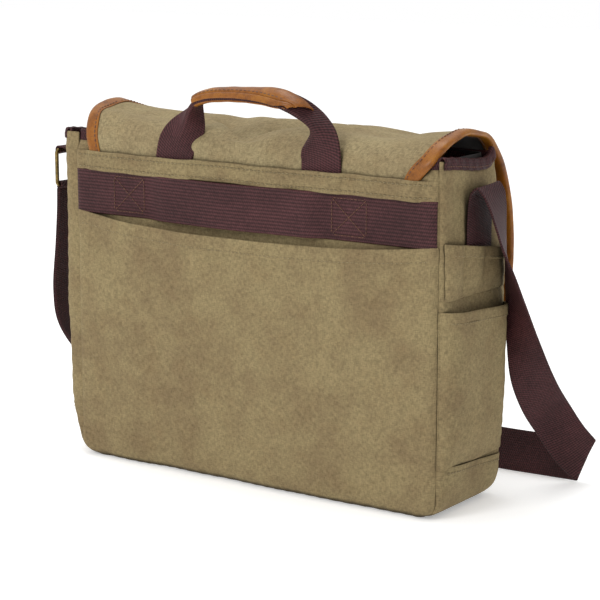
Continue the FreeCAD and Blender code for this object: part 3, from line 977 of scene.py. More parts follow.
    def panel(self, face: Callable[[Array, Array], Array], top: float) -> Shape:
        """A back or front panel up to a height; face gives its y at each x and z.

        Args:
            face: gives y at each x and z.
            top: the panel's upper edge.

        Returns:
            The closed mesh.
        """
        k, v = np.meshgrid(spread(-1, 1, 90), np.linspace(0, 1, 120) ** 1.25)
        z = self.low + (top - self.low) * v
        x = k * (self.half_at(z) - 0.3)
        return sheet(np.stack([x, face(x, z), z], -1), self.cloth)

    def front_face(self, x: Array, z: Array) -> Array:
        """y of the front panel's outer face."""
        inside = self.half_at(z) - np.abs(x)
        return self.front_at(z) + self.seam_in * np.exp(-inside / 2.0) + ripples(x, z, 12, 80, 0.4)

    def build(self) -> None:
        """Makes the shell's five panels and their stitches."""
        sides = {"left": 1, "right": -1}
        for word, side in sides.items():
            made = make_piece(f"gusset_{word}_canvas", self.gusset(side), CANVAS, "bag", [f"gusset_{word}"])
        base = make_piece("base_canvas", self.base(), CANVAS, "bag", ["base_panel"])
        back = make_piece("back_canvas", self.panel(self.back_face, 296.5), CANVAS, "bag", ["back_panel"])
        front = make_piece("front_canvas", self.panel(self.front_face, 298.0), CANVAS, "bag", ["front_panel"])
        seams = joined([self.base_seam(side) for side in sides.values()])
        make_piece("base_stitches", seams, KHAKI_THREAD, "bag")


@dataclass
class Inside:
    """What lines the bag: a tub of lining, the padded divider and the base board."""

    body: Body
    gap: float = 2.4
    top: float = 299.0
    floor: float = 7.4

    def tub(self) -> Shape:
        """The lining as one open tub.

        Each level is a rounded rectangle, a superellipse of power twelve, inside the canvas, and the
        last levels shrink to the middle of the floor.

        Returns:
            The closed mesh.
        """
        around = np.linspace(0, 2 * math.pi, 161)
        walls = np.linspace(self.top, self.floor + 6, 50)
        size = np.concatenate([np.ones(50), np.array([0.985, 0.95, 0.8, 0.6, 0.4, 0.2, 0.02])])
        z = np.concatenate([walls, [self.floor + 1.5, *[self.floor] * 6]])
        power = 2 / 12
        cos, sin = np.cos(around), np.sin(around)
        x = np.sign(cos) * np.abs(cos) ** power * (self.body.half - self.gap - 2.5)
        front = self.body.front_at(z) + self.gap
        back = self.body.back_at(z) - self.gap
        middle, deep = (front + back) / 2, (back - front) / 2
        y = middle[:, None] + np.sign(sin) * np.abs(sin) ** power * deep[:, None] * size[:, None]
        surface = np.stack([x * size[:, None], y, np.broadcast_to(z[:, None], y.shape)], -1)
        surface[:50, :, 1] += ripples(surface[:50, :, 0], surface[:50, :, 2], 21, 70, 0.5)
        return sheet(surface, 0.6)

    def divider(self) -> Shape:
        """The padded divider: a cushion whose two faces meet in a rounded rim.

        Its thickness at each place is the frame node's, less 0.4 mm, times the fourth root of how far
        inside the rim the place is, so it is full in the middle and pulls in to its seam.

        Returns:
            The closed mesh.
        """
        low, high = box_mm("laptop_divider")
        a, b = np.meshgrid(spread(-1, 1, 60), spread(-1, 1, 60))
        fill = ((1 - a**8) * (1 - b**8)) ** 0.25
        lines = 0.8 * sum(dented(a * 180 - at, 3.0) for at in (-90.0, 0.0, 90.0))
        x = a * (high[0] - 1) * (1 - 0.02 * np.maximum(b, 0) ** 6)
        z = (low[2] + high[2]) / 2 + b * (high[2] - low[2]) / 2
        y = np.full_like(x, (low[1] + high[1]) / 2)
        thick = np.maximum((high[1] - low[1] - 0.4) * fill - lines, 0.6)
        return sheet(np.stack([x, y, z], -1), thick)

    def build(self) -> None:
        """Makes the lining and the divider, and dresses the board."""
        tub = make_piece("lining_tub", self.tub(), LINING, "bag", ["lining"])
        pad = make_piece("divider_pad", self.divider(), LINING, "bag", ["laptop_divider"])
        dress_node("base_board", BOARD)


def dress_node(node: str, finish: Finish) -> None:
    """Gives a frame node that is shown as it is its finish.

    Args:
        node: the frame node's name.
        finish: its material.
    """
    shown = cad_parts[node]
    shown.data.materials.clear()
    shown.data.materials.append(finish.material())


# ---------------------------------------------------------------- back


@dataclass
class BackDetails:
    """What is sewn on the back: the open slip pocket, the trolley band and the hem strip."""

    body: Body
    pocket_stand: float = 7.6
    pocket_side_top: float = 229.5
    pocket_middle_top: float = 219.5
    band: tuple[float, float] = field(
        default_factory=lambda: (box_mm("trolley_band")[0][2], box_mm("trolley_band")[1][2])
    )
    hem: tuple[float, float] = field(
        default_factory=lambda: (box_mm("top_hem")[0][2], box_mm("top_hem")[1][2])
    )
    sewn_left: float = 108.0
    sewn_right: float = -88.0
    band_stand: float = 6.0
    webbing: float = 1.6

    def pocket_top(self, x: Array) -> Array:
        """Height of the pocket's mouth, which sags between its ends as a hanging cloth does."""
        share = x / self.body.half
        return self.pocket_middle_top + (self.pocket_side_top - self.pocket_middle_top) * np.abs(share) ** 2.4

    def pocket_face(self, x: Array, z: Array) -> Array:
        """y of the middle of the pocket's cloth: it stands off the back, most at its open top.

        The stand grows with height and falls to nothing at the side seams as one less the fourth
        power. Drag lines run in from the upper corners, slack lines lie aslant at half height on the
        pockets' side, and the foot has gathers at its corners.

        Args:
            x: places across the bag.
            z: heights.

        Returns:
            y at each place.
        """
        share = np.abs(x) / self.body.half
        stand = flowing(z, (0, 13, 60, 120, 200, 232), (0.0, 0.3, 0.72, 0.9, 1.0, 1.08))
        lift = self.pocket_stand * stand * (1 - share**4)
        inside = self.body.half_at(z) - np.abs(x)
        seam = 4.2 * np.exp(-inside / 2.2)
        side = np.sign(x)
        drag = 0.0
        for slope, at, deep in ((0.55, 210, 1.1), (0.9, 196, 0.8), (-0.4, 60, 0.7)):
            line = z - at + slope * (self.body.half - 30 - np.abs(x))
            drag = drag + deep * dented(line, 7) * dented((inside - 30), 26) * (1 + 0.25 * side)
        corner = 1.1 * np.sin((np.abs(x) - z) / 5.2) * dented(inside, 22) * dented(z - 12, 20)
        slack = 0.9 * np.sin((z + 0.6 * x) / 6.5) * dented(x + 145, 42) * dented(z - 112, 62)
        soft = ripples(x, z, 5, 95, 1.3) + ripples(x, z, 6, 34, 0.35) + slack
        edge = puckers(inside, z, 4, 0.5) + puckers(z - 2, x, 8, 0.5)
        free = 1 - np.exp(-inside / 9)
        return self.body.back_at(z) + 1.2 + lift - seam - drag + corner + (soft + edge) * free

    def pocket(self) -> Shape:
        """The slip pocket, from under the foot to its folded top edge.

        Returns:
            The closed mesh.
        """
        k, v = np.meshgrid(spread(-1, 1, 150), np.linspace(0, 1, 150) ** 1.15)
        x_top = k * self.body.half
        top = self.pocket_top(x_top)
        z = 0.9 + (top - 0.9) * v
        x = k * (self.body.half_at(z) - 0.2)
        below = top - z
        fold = 0.5 * eased((12.5 - below) / 1.5) + 0.5 * dented(below, 1.2)
        y = self.pocket_face(x, z) + fold
        return sheet(np.stack([x, y, z], -1), 1.5 + 0.9 * eased((12 - below) / 1.5))

    def pocket_stitches(self) -> Shape:
        """The row that holds the pocket's folded top.

        Returns:
            The closed mesh.
        """
        x = np.linspace(-self.body.half + 5, self.body.half - 5, 120)
        z = self.pocket_top(x) - 10.5
        path = np.stack([x, self.pocket_face(x, z) + 1.6, z], -1)
        return Seam().along(path, np.tile([0.0, 1.0, 0.0], (len(x), 1)))

    def band_face(self, x: Array, z: Array) -> Array:
        """y of the middle of the trolley band: flat where it is sewn, standing off between.

        Args:
            x: places across the bag.
            z: heights.

        Returns:
            y at each place.
        """
        ramp = 24.0
        free = eased((x - self.sewn_right) / ramp) * eased((self.sewn_left - x) / ramp)
        stand = self.band_stand * free * (1 + 0.12 * np.sin(x / 19))
        sag = 0.9 * (z - self.band[0]) / 38 * dented(x - 10, 70)
        return self.back_under_band(x) + stand - sag + ripples(x, z, 14, 60, 0.25)

    def back_under_band(self, x: Array) -> Array:
        """y of a webbing laid flat on the back panel, turning in to the side seams."""
        inside = self.body.half - np.abs(x)
        return self.body.back + 1.7 - 4.0 * np.exp(-inside / 2.2)

    def trolley_band(self) -> Shape:
        """The ribbed webbing across the back, with thicker selvedges and a faint bow.

        Returns:
            The closed mesh.
        """
        edge = self.body.half - 1.0
        v, x = np.meshgrid(np.linspace(0, 1, 22), np.linspace(edge, -edge, 260))
        low, high = self.band
        bow = 0.8 * dented(x - 10, 60)
        z = low + (high - low) * v - bow
        bead = 0.5 * (dented(v, 0.05) + dented(v - 1, 0.05))
        return sheet(np.stack([x, self.band_face(x, z), z], -1), self.webbing + bead)

    def crossed_box(self, x0: float, x1: float) -> list[Array]:
        """The corners of a stitched box with a cross in it, between two ends."""
        low, high = self.band[0] + 3.5, self.band[1] - 3.5
        a, b, c, d = (x0, low), (x1, low), (x1, high), (x0, high)
        return [np.array(run) for run in ((a, b), (b, c), (c, d), (d, a), (a, c), (b, d))]

    def band_stitches(self) -> Shape:
        """Two crossed boxes, one near each sewn-in end.

        Returns:
            The closed mesh.
        """
        wide = 36.0
        runs = self.crossed_box(self.sewn_left + 2, self.sewn_left + wide)
        runs += self.crossed_box(self.sewn_right - wide, self.sewn_right - 2)
        sewn = []
        for run in runs:
            share = np.linspace(0, 1, 24)[:, None]
            x, z = (run[0] + (run[1] - run[0]) * share).T
            path = np.stack([x, self.band_face(x, z) + self.webbing / 2 + 0.25, z], -1)
            sewn.append(Seam(3.4, 2.7, 0.38).along(path, np.tile([0.0, 1.0, 0.0], (len(x), 1))))
        return joined(sewn)

    def hem_face(self, x: Array, z: Array) -> Array:
        """y of the middle of the hem strip: over the flap's root and the handle's ends, and down to
        the back panel beyond them.

        Args:
            x: places across the bag.
            z: heights.

        Returns:
            y at each place.
        """
        inside = self.body.half - np.abs(x)
        over_root = 3.4 * eased((self.body.half - 12 - np.abs(x)) / 9)
        over_legs = 1.4 * sum(eased((23 - np.abs(x - leg)) / 4) for leg in (77.5, -78.5))
        share = (z - self.hem[0]) / (self.hem[1] - self.hem[0])
        rolled = 0.7 * np.sin(math.pi * np.clip(share, 0, 1))
        wave = 0.35 * np.sin(x / 9.0 + 2 * np.sin(x / 31)) + ripples(x, z, 17, 50, 0.3)
        return self.body.back + 1.5 + over_root + over_legs + rolled + wave - 4.2 * np.exp(-inside / 2.2)

    def hem_strip(self) -> Shape:
        """The canvas strip over the flap's root, folded in along both edges.

        Returns:
            The closed mesh.
        """
        edge = self.body.half - 0.8
        v, x = np.meshgrid(np.linspace(0, 1, 22), np.linspace(edge, -edge, 240))
        low, high = self.hem
        z = low + (high + 0.6 - low) * v + 0.35 * np.sin(x / 21) + 0.25 * np.sin(x / 6.5)
        fold = 0.7 * (dented(v, 0.14) + dented(v - 1, 0.14))
        return sheet(np.stack([x, self.hem_face(x, z), z], -1), 1.3 + fold)

    def hem_stitches(self) -> Shape:
        """A row along each edge of the hem strip.

        Returns:
            The closed mesh.
        """
        rows = []
        x = np.linspace(self.body.half - 4, -self.body.half + 4, 240)
        for z in (self.hem[0] + 2.6, self.hem[1] - 2.4):
            height = np.full_like(x, z) + 0.35 * np.sin(x / 21)
            path = np.stack([x, self.hem_face(x, height) + 1.0, height], -1)
            rows.append(Seam().along(path, np.tile([0.0, 1.0, 0.0], (len(x), 1))))
        return joined(rows)

    def build(self) -> None:
        """Makes the pocket, the band, the hem and their stitches."""
        pocket = make_piece("slip_pocket", self.pocket(), CANVAS, "bag", ["back_pocket"])
        make_piece("slip_pocket_stitches", self.pocket_stitches(), KHAKI_THREAD, "bag")
        band = make_piece("trolley_webbing", self.trolley_band(), BAND_WEBBING, "bag", ["trolley_band"])
        make_piece("trolley_stitches", self.band_stitches(), THREAD, "bag")
        hem = make_piece("hem_strip", self.hem_strip(), CANVAS, "bag", ["top_hem"])
        make_piece("hem_stitches", self.hem_stitches(), KHAKI_THREAD, "bag")


# ---------------------------------------------------------------- flap


@dataclass
class Flap:
    """The flap, drawn on its flat pattern and folded over the mouth and down the front.

    On the pattern, a runs across from the middle, above zero towards the ring, and b runs from the
    root under the hem to the free edge.
    """

    half: float = field(default_factory=lambda: box_mm("flap_front")[1][0] + 1.0)
    long: float = 351.5
    corner: float = 65.0
    parted: float = 86.0
    leather: float = 11.0
    stations: tuple = (0, 16, 32, 44, 74, 109, 144, 158, 170, 352)
    middle: tuple = (
        (53.6, 268), (53.8, 284), (50.5, 300), (42, 308), (12, 313.4),
        (-22, 315), (-56, 307), (-67.5, 297), (-70.2, 284), (-70.2, 100),
    )
    ring_side: tuple = (
        (168, 53.6, 268), (171, 54, 282), (178, 50.5, 299), (184, 40, 313), (190, 12, 324.5),
        (191.5, -20, 323), (192, -50, 308), (191, -60, 299), (190, -64, 287), (190, -65, 100),
    )
    pocket_side: tuple = (
        (168, 53.6, 268), (172.5, 54, 283), (184, 51, 298), (189, 41, 309.5), (190, 13, 318),
        (190, -20, 316.5), (189.5, -44, 302), (189, -56, 289), (188.5, -63.5, 277), (187.5, -68.5, 100),
    )

    def place(self, a: Array, b: Array, plain: bool = False) -> Array:
        """A point of the pattern in space.

        It starts from the middle line's y and z at b and moves towards the edge line's by a power of
        the share of the half width: 2.2, and up to 6.2 on the ring side, where only the edge rises.
        Soft dents and the valley under the handle are then pressed into the top.

        Args:
            a: places across the pattern.
            b: places along it.
            plain: whether dents and ripples are left out.

        Returns:
            The points.
        """
        a, b = np.broadcast_arrays(np.asarray(a, float), np.asarray(b, float))
        middle = flowing(b, self.stations, self.middle)
        edge = np.where((a > 0)[..., None], flowing(b, self.stations, self.ring_side),
                        flowing(b, self.stations, self.pocket_side))
        share = np.minimum(np.abs(a) / edge[..., 0], 1.1)
        lift = (share ** np.where(a > 0, 2.2 + 4.0 * eased((b - 40) / 30), 2.2))[..., None]
        yz = middle + (edge[..., 1:] - middle) * lift
        point = np.concatenate([a[..., None], yz], -1)
        if plain:
            return point
        point[..., 2] -= self.dents(a, b)
        hang = eased((b - 165) / 40)
        wave = 1.2 * np.sin(a / 38 + 1) * eased((b - 220) / 90)
        point[..., 1] -= hang * (ripples(a, b, 31, 90, 0.9) + wave)
        return point

    def dents(self, a: Array, b: Array) -> Array:
        """How far the top of the flap is pressed down.

        A valley lies beyond a line shaped like a V, whose point is at the root side under the handle;
        two broad dents lie beside it, and small ripples cover the top.

        Args:
            a: places across the pattern.
            b: places along it.

        Returns:
            How deep each place is pressed.
        """
        line = 42 + 0.7 * np.abs(a - 14) + 4 * dented(a - 14, 9)
        inside = eased((78 - np.abs(a - 14)) / 40)
        valley = 12.5 * eased((b - line) / 8) * eased((line + 62 - b) / 58) * inside
        valley = valley + 6.5 * dented(a - 12, 24) * dented(b - 46, 13)
        dip = 7.0 * dented(a + 119, 29) * dented(b - 98, 40)
        slack = 2.2 * dented(a - 88, 24) * dented(b - 62, 26) + 1.8 * dented(a + 62, 20) * dented(b - 52, 20)
        top = eased((b - 30) / 14) * eased((165 - b) / 30)
        return (valley + dip + slack + ripples(a, b, 33, 62, 1.2) * 0.8) * top

    def normal(self, a: Array, b: Array, plain: bool = False) -> Array:
        """The way out of the cloth: the cross product of small steps along and across it.

        Args:
            a: places across the pattern.
            b: places along it.
            plain: whether dents and ripples are left out.

        Returns:
            A direction of length one for each place.
        """
        step = 1.5
        along = self.place(a, b + step, plain) - self.place(a, b - step, plain)
        across = self.place(a + step, b, plain) - self.place(a - step, b, plain)
        return unit(np.cross(along, across))

    def lifted(self, a: Array, b: Array, height: Array | float) -> Array:
        """A point of the pattern, moved out of the cloth by a height."""
        height = np.asarray(height, float)
        return self.place(a, b) + self.normal(a, b) * np.broadcast_to(height, np.shape(a))[..., None]

    def half_at(self, b: Array, side: int) -> Array:
        """Half the pattern's width at b, with the two free corners round."""
        edge = flowing(b, self.stations, self.ring_side if side > 0 else self.pocket_side)[..., 0]
        past = np.clip(b - (self.long - self.corner), 0, self.corner)
        return edge - self.corner + np.sqrt(self.corner**2 - past**2)

    def cloth(self, b0: float, b1: float, rows: int, height: float, thick: float, inset: float) -> Shape:
        """One layer of the flap between two places along it, at a height from its middle.

        Args:
            b0: where it starts along the pattern.
            b1: where it ends.
            rows: how many rows of points.
            height: how far out of the flap's middle it lies.
            thick: its thickness.
            inset: how far its sides are inside the pattern's edge.

        Returns:
            The closed mesh.
        """
        k, v = np.meshgrid(np.linspace(-1, 1, 120), np.linspace(0, 1, rows))
        b = b0 + (b1 - b0) * v
        a = np.where(k > 0, k * (self.half_at(b, 1) - inset), k * (self.half_at(b, -1) - inset))
        return sheet(self.lifted(a, b, height), thick, soft_ends=False)

    def edge_line(self, b0: float, b1: float, side: int, count: int) -> Array:
        """The pattern's edge down one side."""
        b = np.linspace(b0, b1, count)
        return np.stack([side * self.half_at(b, side), b], -1)

    def round_line(self, b0: float) -> Array:
        """The pattern's edge from b0 on the ring side, round both free corners, and back to b0.

        Args:
            b0: where it starts along the pattern.

        Returns:
            The edge as places on the pattern.
        """
        turn = np.linspace(0, math.pi / 2, 26)
        start = self.long - self.corner
        down = self.edge_line(b0, start, 1, 60)[:-1]
        bend_a = self.half - self.corner * (1 - np.cos(turn))
        bend = np.stack([bend_a, start + self.corner * np.sin(turn)], -1)
        free = np.stack([np.linspace(bend[-1, 0], 0, 30)[1:], np.full(29, self.long)], -1)
        one = np.concatenate([down, bend, free])
        two = (one * [-1, 1])[::-1][1:]
        up = self.edge_line(b0, start, -1, 60)[:-1][::-1]
        return np.concatenate([one, two[: -len(up)], up])

    def inwards(self, line: Array) -> Array:
        """The direction on the pattern from each place of an edge line towards the flap's inside.

        It is square to the line, on the side where the pattern's middle, at b 180, lies.

        Args:
            line: an edge as places on the pattern.

        Returns:
            A direction of length one for each place.
        """
        ahead = unit(np.gradient(line, axis=0))
        inwards = np.stack([ahead[:, 1], -ahead[:, 0]], -1)
        if np.einsum("ij,ij->", inwards, line - [0, 180]) > 0:
            inwards = -inwards
        return inwards

    def binding(self, line: Array, soft_ends: bool) -> Shape:
        """Leather folded over an edge of the pattern.

        Its section goes in over the top of the cloth by the leather's width, round the edge, and
        back under; the places on the pattern are the edge line moved inwards.

        Args:
            line: the edge as places on the pattern.
            soft_ends: whether the strip's ends are rounded.

        Returns:
            The closed mesh.
        """
        inwards = self.inwards(line)
        wide = self.leather
        upper = [wide, wide * 0.8, wide * 0.5, 3, 1.2, -0.3]
        inset = np.array([*upper, -0.9, -0.3, 1.2, 3, wide * 0.5, wide * 0.9, wide])
        height = np.array([1.15, 1.45, 1.55, 1.5, 1.3, 0.6, -0.8, -2.2, -2.8, -3.0, -3.0, -2.9, -2.7])
        spots = line[:, None] + inwards[:, None] * inset[None, :, None]
        far = lengths_along(line)[:, None]
        worn = 0.22 * np.sin(far / 7 + 2 * np.sin(far / 29))
        surface = self.lifted(spots[..., 0], spots[..., 1], height[None] + worn * np.sign(height)[None])
        return sheet(surface, 1.0, soft_ends)

    def binding_stitches(self, line: Array) -> Shape:
        """The row of stitches along the inner side of the leather, on both faces.

        Args:
            line: an edge as places on the pattern.

        Returns:
            The closed mesh.
        """
        inwards = self.inwards(line)
        spots = line + inwards * (self.leather - 2.0)
        a, b = spots.T
        out = self.normal(a, b)
        upper = Seam(4.6, 3.3, 0.45).along(self.lifted(a, b, 1.95), out)
        lower = Seam(4.6, 3.3, 0.45).along(self.lifted(a, b, -3.45), -out)
        return joined([upper, lower])

    def build(self) -> None:
        """Makes the flap in two lengths, parted where it is stiff."""
        over = Bend("bag", "flap_over", (0, 54, 290), (0, 40, 312))
        fold = Bend("flap_over", "flap_hang", (0, -42, 310), (0, -74, 281))
        cut, end = self.parted, self.long
        rear = make_piece(
            "flap_rear_canvas", self.cloth(2, cut, 60, 0.0, 1.3, 0.8), FLAP_CANVAS, over, ["flap_root"]
        )
        front = make_piece(
            "flap_front_canvas", self.cloth(cut, end - 0.6, 150, 0.0, 1.3, 0.8), FLAP_CANVAS, fold,
            ["flap_top", "flap_front"],
        )
        rear = make_piece("flap_rear_lining", self.cloth(2, cut, 60, -1.5, 0.9, 1.2), LINING, over)
        front = make_piece("flap_front_lining", self.cloth(cut, end - 1.2, 150, -1.5, 0.9, 1.2), LINING, fold)
        sides = [self.edge_line(4, cut, side, 70) for side in (1, -1)]
        root = joined([self.binding(line, False) for line in sides])
        make_piece("flap_root_leather", root, LEATHER, over, ["flap_root_binding"])
        rim = self.round_line(cut)
        replaced = ["flap_top_binding", "flap_front_binding"]
        make_piece("flap_edge_leather", self.binding(rim, False), LEATHER, fold, replaced)
        sewn = joined([self.binding_stitches(line) for line in sides])
        make_piece("flap_root_stitches", sewn, THREAD, over)
        make_piece("flap_edge_stitches", self.binding_stitches(rim), THREAD, fold)


# ---------------------------------------------------------------- mouth, handle


@dataclass
class MouthBinding:
    """Brown webbing folded over the mouth's edge, along both gussets and the front."""

    body: Body
    tall: float = 7.4
    below_mouth: float = 3.6

    def upper_edge(self, w: Array) -> Array:
        """Height of a gusset's upper edge: it falls towards the front and rises at the corner."""
        return self.body.mouth - self.below_mouth - 5.6 * eased(w / 0.75) + 7.5 * dented(w - 1, 0.1)

    def section(self) -> tuple[Array, Array]:
        """The folded webbing's section: how far out of the canvas and how far above its edge."""
        out = np.array([1.5, 1.9, 2.0, 1.9, 1.2, -0.6, -2.6, -3.4, -3.5, -3.4, -3.2])
        up = np.array([-self.tall, -6.6, -3.6, -0.5, 1.3, 1.9, 1.2, -1.0, -4.0, -6.8, -self.tall])
        return out, up

    def end(self, side: int) -> Shape:
        """The length over one gusset, whose upper edge is uneven and rises at the front corner.

        Args:
            side: one on the ring's side, minus one on the pockets'.

        Returns:
            The closed mesh.
        """
        w = np.linspace(0.015, 0.985, 90)[:, None]
        out, up = self.section()
        top = self.upper_edge(w) + 0.25 * np.sin(w * 47)
        z = top + up[None, :]
        p = self.body.place_of(np.minimum(z, self.body.mouth + 1), side)
        surface = self.body.strip(p, np.broadcast_to(w, z.shape), 0.0, 3 + side)
        surface[..., 0] += side * (out[None, :] + 0.3 * np.sin(w * 47) * (out[None, :] > 0))
        surface[..., 2] = z
        return sheet(surface, 1.1)

    def front(self) -> Shape:
        """The length over the front panel.

        Returns:
            The closed mesh.
        """
        x = np.linspace(-self.body.half + 4, self.body.half - 4, 140)[:, None]
        out, up = self.section()
        z = 298.0 + up[None, :] + 0.4 * np.sin(x / 23)
        y = self.body.front_face(x, np.minimum(z, 298.5)) - out[None, :]
        return sheet(np.stack(np.broadcast_arrays(x, y, z), -1), 1.1)

    def corner(self, side: int) -> Shape:
        """The short length over a corner of the back panel, as far as the flap covers it.

        Args:
            side: one on the ring's side, minus one on the pockets'.

        Returns:
            The closed mesh.
        """
        x = side * np.linspace(self.body.half - 0.5, self.body.half - 26, 30)[:, None]
        out, up = self.section()
        z = self.body.mouth - self.below_mouth + up[None, :]
        y = self.body.back_face(x, np.minimum(z, 297.0)) + 0.6 * out[None, :]
        return sheet(np.stack(np.broadcast_arrays(x, y, z), -1), 1.1)

    def stitches(self) -> Shape:
        """A row along the lower edge of each gusset's length."""
        rows = []
        for side in (1, -1):
            w = np.linspace(0.02, 0.98, 90)
            z = self.upper_edge(w) - self.tall + 2.6
            path = self.body.strip(self.body.place_of(z, side), w, 0.0, 3 + side)
            path[:, 0] += side * 2.5
            rows.append(Seam(3.6, 2.8, 0.38).along(path, np.tile([float(side), 0.0, 0.0], (len(w), 1))))
        return joined(rows)

    def build(self) -> None:
        """Makes the lengths as one piece, and their stitches."""
        webbing = joined([self.end(1), self.end(-1), self.corner(1), self.corner(-1), self.front()])
        piece = make_piece("mouth_webbing", webbing, STRAP_WEBBING, "bag", ["mouth_binding"])
        make_piece("mouth_stitches", self.stitches(), THREAD, "bag")


@dataclass
class Handle:
    """One length of webbing, folded lengthwise along its middle where leather wraps it."""

    line: tuple = (
        (75.5, 268), (75.5, 284), (71.5, 299), (63.5, 314), (54.5, 326.5), (45, 334.5), (34, 338.2),
        (15, 340.4),
        (-8, 340.8), (-30, 339), (-46, 335.8), (-57, 331.5), (-67, 324), (-75, 312), (-79, 298),
        (-79.5, 284), (-79.5, 268),
    )
    middle_y: float = field(default_factory=lambda: float(sum(b[1] for b in box_mm("handle_tabs")) / 2))
    webbing: float = 1.6
    half: float = 19.0
    set_back: float = 10.5

    def spine(self, count: int) -> tuple[Array, Array, Array]:
        """The webbing's middle line, and the way out of the arch, and the distance along it.

        Args:
            count: how many points.

        Returns:
            The points, the way out of the arch, and the distance along it.
        """
        knots = np.array(self.line, float)
        far = lengths_along(knots)
        t = np.linspace(0, far[-1], count)
        xz = flowing(t, far, knots)
        ahead = unit(np.gradient(xz, axis=0))
        path = np.stack([xz[:, 0], np.full(count, self.middle_y), xz[:, 1]], -1)
        out = np.stack([ahead[:, 1], np.zeros(count), -ahead[:, 0]], -1)
        return path, out, t

    def lean(self, near: Array, t: Array, end: float) -> Array:
        """How far the upper half of the fold lies over backwards at each place, in radians."""
        back = math.radians(66) * eased((near - 26) / 40)
        return back - math.radians(24) * dented(t - (end - 88), 24)

    def ribbon(self) -> Shape:
        """The webbing.

        Across it, the direction is the arch's own plane at the base. Towards the grip the outer half
        leans back and the inner half turns up behind it by most of a half turn, about a crease that
        runs aslant from the outer edge on the leg away from the ring; each point is the sum of the
        small steps in that direction.

        Returns:
            The closed mesh.
        """
        path, out, t = self.spine(300)
        end = t[-1]
        near = np.minimum(t, end - t)
        far_leg = t > end / 2
        fold = math.radians(172) * np.where(far_leg, eased((near - 28) / 46), eased((near - 22) / 56))
        crease = np.where(far_leg, 0.6 * (1 - eased((near - 22) / 50)), 0.0)
        wide = self.half - 2.6 * eased((near - 62) / 24)
        q = np.linspace(-1, 1, 49)
        shut = eased((crease[:, None] + 0.17 - q[None]) / 0.34)
        turn = self.lean(near, t, end)[:, None] - fold[:, None] * shut
        step = wide[:, None] * (q[1] - q[0])
        inward = np.cumsum(np.cos(turn), 1) * step
        behind = np.cumsum(np.sin(turn), 1) * step
        centre = len(q) // 2
        inward = inward - inward[:, centre : centre + 1]
        behind = behind - behind[:, centre : centre + 1]
        surface = path[:, None] + out[:, None] * inward[..., None]
        surface[..., 1] -= behind
        surface[..., 1] += self.set_back * eased((near - 40) / 40)[:, None]
        bead = 0.35 * (dented(q - 1, 0.1) + dented(q + 1, 0.1))
        return sheet(surface, self.webbing + bead[None])

    def grip_part(self, start: float, stop: float) -> tuple[Array, Array, Array, Array]:
        """The middle of the folded webbing between two distances from the grip's middle.

        Args:
            start: where it starts, from the grip's middle.
            stop: where it ends.

        Returns:
            The points, the directions from the crease to the edges and out of the upper face, and the
            distance along.
        """
        path, out, t = self.spine(400)
        lean = self.lean(np.minimum(t, t[-1] - t), t, t[-1])[:, None]
        back = np.array([[0.0, -1.0, 0.0]])
        long = out * np.cos(lean) + back * np.sin(lean)
        face = out * np.sin(lean) - back * np.cos(lean)
        path = path + long * 7.6
        path[:, 1] += self.set_back
        middle = np.argmin(np.abs(path[:, 0] + 4))
        keep = (t > t[middle] + start) & (t < t[middle] + stop)
        return path[keep], long[keep], face[keep], t[keep] - t[middle]

    def grip(self) -> Shape:
        """The leather wrap: a flat tube round the fold, open along the crease where its two lips meet
        the webbing, with a pressed line beside the lips and ends cut on a slant.

        Returns:
            The closed mesh.
        """
        path, long, face, t = self.grip_part(-53, 62)
        turn = np.linspace(-math.radians(160), math.radians(160), 61)
        share = np.clip((t - t[0]) / (t[-1] - t[0]), 0, 1)
        groove = 1 - 0.3 * (dented(turn - math.radians(112), 0.10) + dented(turn + math.radians(112), 0.10))
        crease = 1 + 0.02 * np.sin(t / 3.1)[:, None] * np.sin(turn * 3 + t[:, None] / 17)
        ends = 7.0 * eased((share - 0.7) / 0.3) - 1.2 * eased((0.25 - share) / 0.25)
        slant = (np.cos(turn) - 1)[None] * ends[:, None]
        along = unit(np.gradient(path, axis=0))
        up = (9.0 * np.cos(turn))[None] * crease
        side = (4.6 * np.sin(turn) * groove)[None] * crease
        surface = path[:, None] + long[:, None] * up[..., None] + face[:, None] * side[..., None]
        surface = surface + along[:, None] * slant[..., None]
        return sheet(surface, 1.3)

    def grip_stitches(self) -> Shape:
        """One row on each face, beside the pressed line.

        Returns:
            The closed mesh.
        """
        path, long, face, _ = self.grip_part(-50, 46)
        rows = []
        for side in (1.0, -1.0):
            sewn = path - long * 1.6 + face * side * 5.2
            rows.append(Seam(4.4, 3.2, 0.4).along(sewn, face * side))
        return joined(rows)

    def build(self) -> None:
        """Makes the webbing and the grip."""
        bend = Bend("bag", "handle", (0, self.middle_y, 281), (0, self.middle_y, 289))
        replaced = ["handle_webbing", "handle_tabs"]
        webbing = make_piece("handle_ribbon", self.ribbon(), STRAP_WEBBING, bend, replaced)
        make_piece("grip_leather", self.grip(), LEATHER, "handle", ["handle_grip"])
        make_piece("grip_stitches", self.grip_stitches(), THREAD, "handle")


# ---------------------------------------------------------------- gusset pockets


